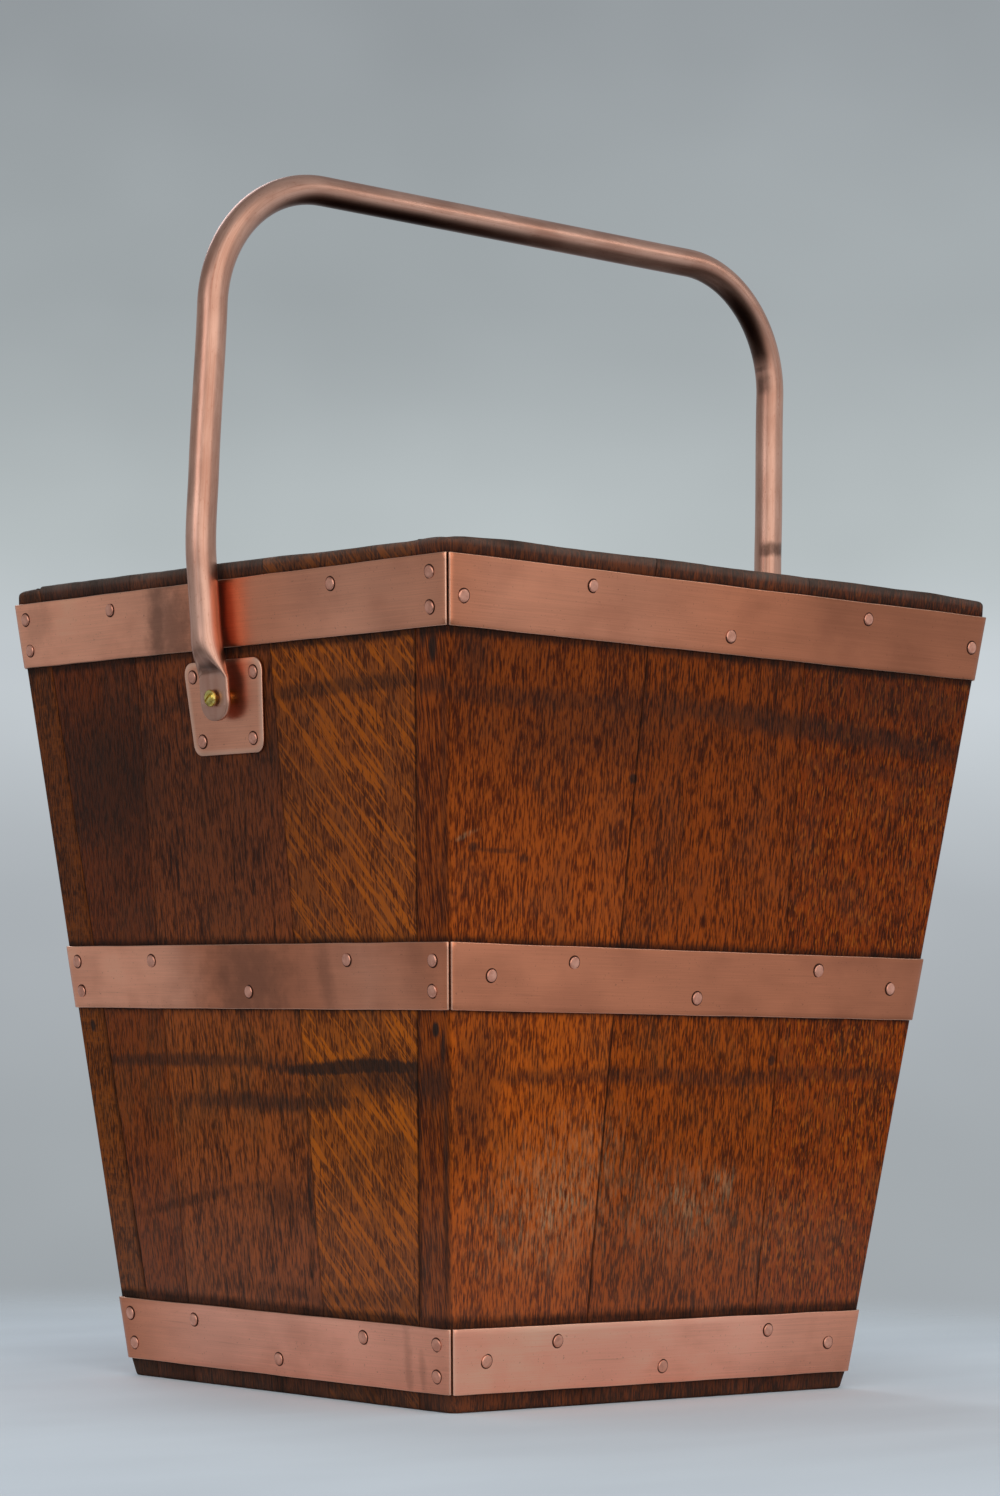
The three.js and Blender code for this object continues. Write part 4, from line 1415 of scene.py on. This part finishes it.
def bailMesh():
    half = bailStations()
    rings, drawn, pressed = [], [], []
    for side, stations in ((1, half), (-1, half[-2::-1])):
        for station in stations:
            ring, lengths, marks = bailRing(station, side, half[-1][4])
            rings.append(ring)
            drawn += lengths
            pressed += marks
    points, faces = lofted(rings, capped=True)
    mesh = buildMesh("bail", points, faces, 40, drawn=drawn, pressed=pressed)
    drills = []
    for side in (-1, 1):
        drill = turnedMesh("drill", [(0, -5), (bail["hole"], -5), (bail["hole"], 5), (0, 5)], 32)
        aim = Matrix.Rotation(side * (math.pi / 2 + sideTilt), 4, "Y")
        # half a step round, so that no corner of the drill meets a line of the tube
        aim = Matrix.Translation((side * pivotX, 0, 0)) @ aim @ Matrix.Rotation(math.pi / 32, 4, "Z")
        drills.append(placed(drill, aim))
    mesh = cutAway(mesh, *drills)
    placed(mesh, Matrix.Translation((0, 0, pivotZ)) @ Matrix.Rotation(math.radians(bail["lean"]), 4, "X"))
    finishMesh(mesh, 40)
    return mesh


# Marks round the tube, by length from the middle of its bar: half length, how dark, which side it is on
tubeMarks = [
    (222, 8, 0.6, -1.5),
    (212, 2, 0.45, 0.0),
    (313, 5, 0.8, -5.0),
    (-318, 14, 0.3, 3.0),
    (-262, 10, 0.25, 4.0),
]
# How dark the painted shade and dark reflection on the inner side of the bar and its bends is
tubeUnderShade = [
    (-400, 0.0), (-235, 0.0), (-190, 0.3), (-120, 0.85), (-60, 0.95), (-20, 0.65), (30, 0.25),
    (100, 0.25), (140, 0.6), (175, 0.95), (200, 0.9), (214, 0.2), (400, 0.0),
]


def tubeFinish():
    material = newFinish("tube_copper")
    drawn = attribute("drawn", "Vector")
    parts = axes(drawn)
    lines = grain(drawn, bail["lineSize"], 2, 0.6)
    blotch = grain(drawn, bail["blotchSize"], 3, 0.6, 0.4)
    cloud = grain(drawn, bail["cloudSize"])
    spots = grain(drawn, bail["spotSize"], 2, 0.6)
    mixed = mixIn(blotch, 0.5, times(cloud, 0.5))
    colour = blendColour(fade(mixed, 0.35, 0.65), rgba(bail["dark"]), rgba(bail["light"]))
    colour = tint(colour, fade(spots, 0.6, 0.75, 0.35), copper["deep"])
    colour = tint(colour, fade(lines, 0.5, 0.75, 0.4), copper["deep"])
    # Painted shade and dark reflection on the tube's inner side and under the bar, deepest at the bends
    inner = fade(swing(blotch, 3.0, parts["Y"]), 0.3, 6.2)
    stops = [(place + 400, depth) for place, depth in tubeUnderShade]
    length = calc("ADD", swing(cloud, 40.0, parts["Z"]), 400.0)
    tarnishAndShade = times(inner, heightRamp(length, stops, 800.0))
    colour = tint(colour, times(tarnishAndShade, 0.93), bail["tarnishAndShade"])
    # Painted shade in the scoop's crease, together with the marks on the tube
    marksAndScoopShade = times(attribute("pressed"), 0.8)
    ragged = swing(blotch, 6.0, parts["Z"])
    for place, half, depth, side in tubeMarks:
        away = calc("ABSOLUTE", calc("SUBTRACT", ragged, place))
        beside = calc("ABSOLUTE", calc("SUBTRACT", parts["X"], side))
        near = times(fade(away, half, half * 0.3), fade(beside, 6.0, 1.5, depth))
        marksAndScoopShade = calc("MAXIMUM", marksAndScoopShade, near)
    marksAndScoopShade = times(marksAndScoopShade, spread(spots, 0.7, 1.2), clamped=True)
    colour = tint(colour, marksAndScoopShade, copper["tarnishAndShade"])
    rough = spread(blotch, *bail["rough"])
    return closeFinish(material, surface(colour, rough, lines, 0.25, 0.00004, 1.0))


addPiece("bail_tube", bailMesh(), tubeFinish(), "bail", "tube_copper", "bail")
print("bail done")


# Pivot screws with their bushes, washers and nuts

pivot = {
    "shank": 4.8,
    "head": 8.4,
    "headHeight": 2.6,
    "slotWidth": 1.1,
    "slotDepth": 1.1,
    "slotTurn": 35,
    "tail": 1.6,
    "bore": 0.3,
    "bush": 8,
    "washer": 14,
    "washerThick": 1.2,
    "nutFlats": 8.8,
    "nutThick": 4,
    "gap": 0.3,
    "ease": 0.25,
    "running": 0.2,
    "swing": 143,
    "blotchSize": (2.5, 2.5, 2.5),
    "fineSize": (0.4, 0.4, 0.4),
    "dark": "c4a648",
    "light": "f0dc86",
    "rough": (0.2, 0.38),
}
rockAngle = 2 * math.asin(math.sin(sideTilt) * math.sin(math.radians(pivot["swing"]) / 2))
screwRise = (pivotZ + bail["standOff"] * math.sin(sideTilt)) / math.cos(sideTilt)


def rockRoom(diameter):
    half = bail["tab"] / 2
    return diameter / 2 * math.tan(rockAngle) + half / math.cos(rockAngle) - half + pivot["running"]


headSeat = bail["standOff"] + bail["tab"] / 2 + rockRoom(pivot["head"])
bushFoot = seatOfSheet + pivot["gap"]
bushTop = bail["standOff"] - bail["tab"] / 2 - rockRoom(pivot["bush"])
washerLow = -bucket["board"] - pivot["gap"] - pivot["washerThick"]
nutLow = washerLow - pivot["gap"] - pivot["nutThick"]


def brassFinish():
    material = newFinish("fixing_brass")
    place = objectPlace()
    blotch = grain(place, pivot["blotchSize"], 3, 0.6)
    fine = grain(place, pivot["fineSize"], 2, 0.6)
    colour = blendColour(fade(blotch, 0.35, 0.7), rgba(pivot["dark"]), rgba(pivot["light"]))
    rough = spread(blotch, *pivot["rough"])
    return closeFinish(material, surface(colour, rough, fine, 0.2, 0.00003, 1.0))


def screwMesh(name):
    radius, head, tall = pivot["shank"] / 2, pivot["head"] / 2, pivot["headHeight"]
    tail = nutLow - pivot["tail"]
    profile = [(0, tail), (radius - 0.6, tail), (radius, tail + 0.6), (radius, headSeat)]
    profile += [(head - 0.15, headSeat), (head, headSeat + 0.15), (head, headSeat + 0.25 * tall)]
    for i in range(1, 9):
        angle = math.pi / 2 * i / 8
        profile.append((head * math.cos(angle), headSeat + tall * (0.25 + 0.75 * math.sin(angle))))
    profile[-1] = (0, profile[-1][1])
    cutter = primitive("slotCutter", bmesh.ops.create_cube, size=mm)
    cutter.transform(Matrix.Diagonal((2 * pivot["head"], pivot["slotWidth"], 2 * pivot["slotDepth"], 1)))
    turn = Matrix.Rotation(math.radians(pivot["slotTurn"]), 4, "Z")
    placed(cutter, Matrix.Translation((0, 0, headSeat + tall)) @ turn)
    return cutAway(turnedMesh(name, profile, 40), cutter)


def collarMesh(name, diameter, low, high):
    inner, outer, ease = pivot["shank"] / 2 + pivot["bore"], diameter / 2, pivot["ease"]
    profile = [(inner, low + ease), (inner + ease, low), (outer - ease, low), (outer, low + ease)]
    profile += [(outer, high - ease), (outer - ease, high), (inner + ease, high), (inner, high - ease)]
    return turnedMesh(name, profile, 40, closed=True)


def nutMesh(name):
    # Six flats, with both faces chamfered round their corners.
    flats, thick, sides = pivot["nutFlats"] / 2, pivot["nutThick"], 72
    rings = []
    for share in (0, 0.06, 0.12, 0.2, 0.5, 0.8, 0.88, 0.94, 1):
        limit = min(flats * 0.97 + min(share, 1 - share) * thick * 1.73, flats / math.cos(math.pi / 6))
        ring = []
        for i in range(sides):
            angle = 2 * math.pi * i / sides
            sector = (angle + math.pi / 6) % (math.pi / 3) - math.pi / 6
            radius = min(flats / math.cos(sector), limit)
            ring.append((radius * math.cos(angle), radius * math.sin(angle), nutLow + thick * share))
        rings.append(ring)
    rings += [circle(pivot["shank"] / 2 + pivot["bore"], z, sides) for z in (nutLow + thick, nutLow)]
    points, faces = lofted(rings, closed=True)
    return buildMesh(name, points, faces, 25)


brass = brassFinish()
for wall in sideWalls:
    matrix = faceMatrix(wall) @ Matrix.Translation((0, screwRise, 0))
    stem = wall["name"] + "_pivot_"
    made = {
        "screw": screwMesh(stem + "screw"),
        "bush": collarMesh(stem + "bush", pivot["bush"], bushFoot, bushTop),
        "washer": collarMesh(stem + "washer", pivot["washer"], washerLow, washerLow + pivot["washerThick"]),
        "nut": nutMesh(stem + "nut"),
    }
    for part, mesh in made.items():
        placed(mesh, matrix)
        finishMesh(mesh, 25)
        addPiece(stem + part + "_brass", mesh, brass, "bucket", "fixing_brass", stem + part)
print("pivots done")


# Floor boards, housed in a groove round the walls

floorBoards = {
    "low": 14,
    "thick": 20,
    "groove": 7,
    "seams": (-0.36, 0.3),
    "ease": 0.8,
    "rows": 10,
    "columns": 30,
    "cup": 0.15,
    "dark": "38231a",
    "light": "5c3b28",
    "line": "26170f",
    "pore": "170f0b",
    "dust": "15120f",
}


def floorFinish():
    material = newFinish("floor_oak")
    place = objectPlace()
    tone = grain(place, (90, 14, 14), 3, 0.6)
    lines = grain(place, (120, 1.8, 1.8), 3, 0.65)
    pores = fade(grain(place, (6, 0.8, 0.8), 2, 0.6), 0.54, 0.66)
    dust = fade(grain(place, (22, 22, 22), 4, 0.65, 0.4), 0.42, 0.62)
    colour = blendColour(fade(tone, 0.3, 0.7), rgba(floorBoards["dark"]), rgba(floorBoards["light"]))
    colour = tint(colour, fade(lines, 0.55, 0.35, 0.4), floorBoards["line"])
    colour = tint(colour, times(pores, 0.6), floorBoards["pore"])
    colour = tint(colour, times(dust, 0.7), floorBoards["dust"])
    height = calc("SUBTRACT", lines, pores)
    return closeFinish(material, surface(colour, spread(dust, 0.6, 0.85), height, 0.3, 0.0004))


def floorMesh(index, name):
    low, joint = floorBoards["low"], bucket["joint"] / 2
    seams = [s * bucket["baseDepth"] / 2 for s in floorBoards["seams"]]
    edgeY = halfDepth(low) - levelThickness(frontSlope) + floorBoards["groove"]
    edgeX = halfWidth(low) - levelThickness(sideSlope) + floorBoards["groove"]
    spec = {key: floorBoards[key] for key in ("thick", "ease", "rows", "columns")}
    spec["low"] = -edgeY if index == 0 else seams[index - 1] + joint
    spec["high"] = edgeY if index == 2 else seams[index] - joint
    spec["ends"] = lambda v: (-edgeX, edgeX)

    def cup(u, v):
        return floorBoards["cup"] * ripple(u * 0.02, v * 0.03, seed=3.0 * index)

    return slabMesh(name, spec, Matrix.Translation((0, 0, low)), cup)


floorMaterial = floorFinish()
for index, side in enumerate(("front", "middle", "back")):
    name = "floor_board_" + side
    addPiece(name + "_wood", floorMesh(index, name), floorMaterial, "bucket", "floor_oak", name)
print("floor done")


# Stage, light and camera

stage = {
    "radius": 3.0,
    "fadeFrom": 0.28,
    "fadeTo": 0.8,
    "cloth": "dee8f0",
    "foldSize": (0.25, 0.09, 1),
    "farFloor": "a3abb2",
    "light": 0.62,
    "lightColour": "e9eef2",
    "cloudSize": (0.09, 0.09, 0.06),
    "rightward": (0.75, -0.66, 0),
    "sideGain": 0.035,
    "frontward": (0.2, -0.98, 0),
    "roomGain": 0.35,
}
# Colours of the far cloth by how high one looks, in degrees above level
farCloth = [
    (-90, "1e1a18"), (-60, "262220"), (-42, "3a3836"), (-28, "686a6c"), (-16, "a0a6ab"), (-6.3, "bac3cc"),
    (-4.9, "aeb4ba"), (-4.3, "9ea4a9"), (-2.4, "a1a7ab"), (1.8, "adb3b8"), (5.2, "c4cbd0"), (7, "b7bfc1"),
    (11, "a0a7aa"), (15, "969ca0"), (90, "8f9599"),
]
lamps = [
    {"name": "key", "at": (-1.0, -2.4, 1.2), "size": 4.0, "power": 33, "colour": "fff6ec"},
    {"name": "left", "at": (-2.6, -0.3, 0.95), "size": 1.4, "power": 9, "colour": "f6f4f6"},
    {"name": "right", "at": (1.75, -1.65, 1.6), "size": 0.5, "power": 2.4, "colour": "fff8f2"},
    {"name": "back", "at": (0.6, 2.2, 1.9), "size": 1.2, "power": 10, "colour": "f2f6ff"},
]


def floorStage():
    circled = {"cap_ends": True, "segments": 96, "radius": stage["radius"]}
    floor = linked("cloth_floor", primitive("cloth_floor", bmesh.ops.create_circle, **circled))
    material = newFinish("pale_cloth")
    coord = node("ShaderNodeTexCoord").outputs["Object"]
    folds = grain(coord, stage["foldSize"])
    colour = blendColour(folds, rgba(stage["cloth"], 0.9), rgba(stage["cloth"], 1.1))
    cloth = surface(colour, 0.9, folds, 0.3, 0.01, specular=0.1)
    clear = node("ShaderNodeBsdfTransparent").outputs[0]
    far = times(fade(measure("LENGTH", coord), stage["fadeFrom"], stage["fadeTo"]), seenRay())
    closeFinish(material, node("ShaderNodeMixShader", {0: far, 1: cloth, 2: clear}).outputs[0])
    floor.data.materials.append(material)


def setWorld():
    world = bpy.data.worlds.new("soft_room")
    scene.world = world
    world.use_nodes = True
    openTree(world.node_tree)
    looked = node("ShaderNodeTexCoord").outputs["Generated"]
    angle = calc("ARCSINE", axes(looked)["Z"])
    stops = [((degrees + 90) / 180, rgba(code)) for degrees, code in farCloth]
    cloth = ramp(mixIn(angle, 1 / math.pi, 0.5), stops, "EASE")
    side = measure("DOT_PRODUCT", looked, stage["rightward"])
    ends = {"Value": side, "From Min": -0.13, "From Max": 0.13, "To Min": -1.0}
    side = node("ShaderNodeMapRange", ends).outputs[0]
    gain = mixIn(side, stage["sideGain"], spread(grain(looked, stage["cloudSize"]), 0.87, 1.13))
    room = measure("DOT_PRODUCT", looked, stage["frontward"])
    gain = mixIn(fade(room, -0.5, 0.6), stage["roomGain"], gain)
    cloth = blendColour(1.0, cloth, gain, "MULTIPLY")
    camera = node("ShaderNodeLightPath").outputs["Is Camera Ray"]
    cloth = tint(cloth, times(fade(angle, -0.34, -0.55), camera), stage["farFloor"])
    far = node("ShaderNodeBackground", {"Color": cloth}).outputs[0]
    light = {"Color": rgba(stage["lightColour"]), "Strength": stage["light"]}
    near = node("ShaderNodeBackground", light).outputs[0]
    mixed = node("ShaderNodeMixShader", {0: seenRay(), 1: near, 2: far}).outputs[0]
    node("ShaderNodeOutputWorld", {"Surface": mixed})


def setLamps():
    for lamp in lamps:
        light = bpy.data.lights.new(lamp["name"], "AREA")
        light.shape = "DISK"
        light.size = lamp["size"]
        light.energy = lamp["power"]
        light.color = linear(lamp["colour"])
        holder = linked(lamp["name"], light)
        holder.location = Vector(lamp["at"])
        aim = Vector((0, 0, 0.25)) - holder.location
        holder.rotation_euler = aim.to_track_quat("-Z", "Y").to_euler()


# Found by fitting the bucket's corners and the bail to the photograph
cameraFit = {
    "at": (-1338.73, -1521.55, 173.97),
    "yaw": 48.609,
    "pitch": 4.186,
    "roll": 0.886,
    "lens": 95.19,
}


def setCamera():
    yaw, pitch, roll = (math.radians(cameraFit[key]) for key in ("yaw", "pitch", "roll"))
    forward = Vector((math.cos(pitch) * math.cos(yaw), math.cos(pitch) * math.sin(yaw), math.sin(pitch)))
    right = forward.cross(Vector(upright)).normalized()
    up = right.cross(forward)
    across = right * math.cos(roll) + up * math.sin(roll)
    above = up * math.cos(roll) - right * math.sin(roll)
    data = bpy.data.cameras.new("camera")
    data.lens = cameraFit["lens"]
    data.sensor_width = 36
    data.clip_start = 0.05
    holder = linked("camera", data)
    turn = Matrix((across, above, -forward)).transposed().to_4x4()
    holder.matrix_world = Matrix.Translation(Vector(cameraFit["at"]) * mm) @ turn
    scene.camera = holder


floorStage()
setWorld()
setLamps()
setCamera()
scene.view_settings.view_transform = "Standard"
print("stage done")
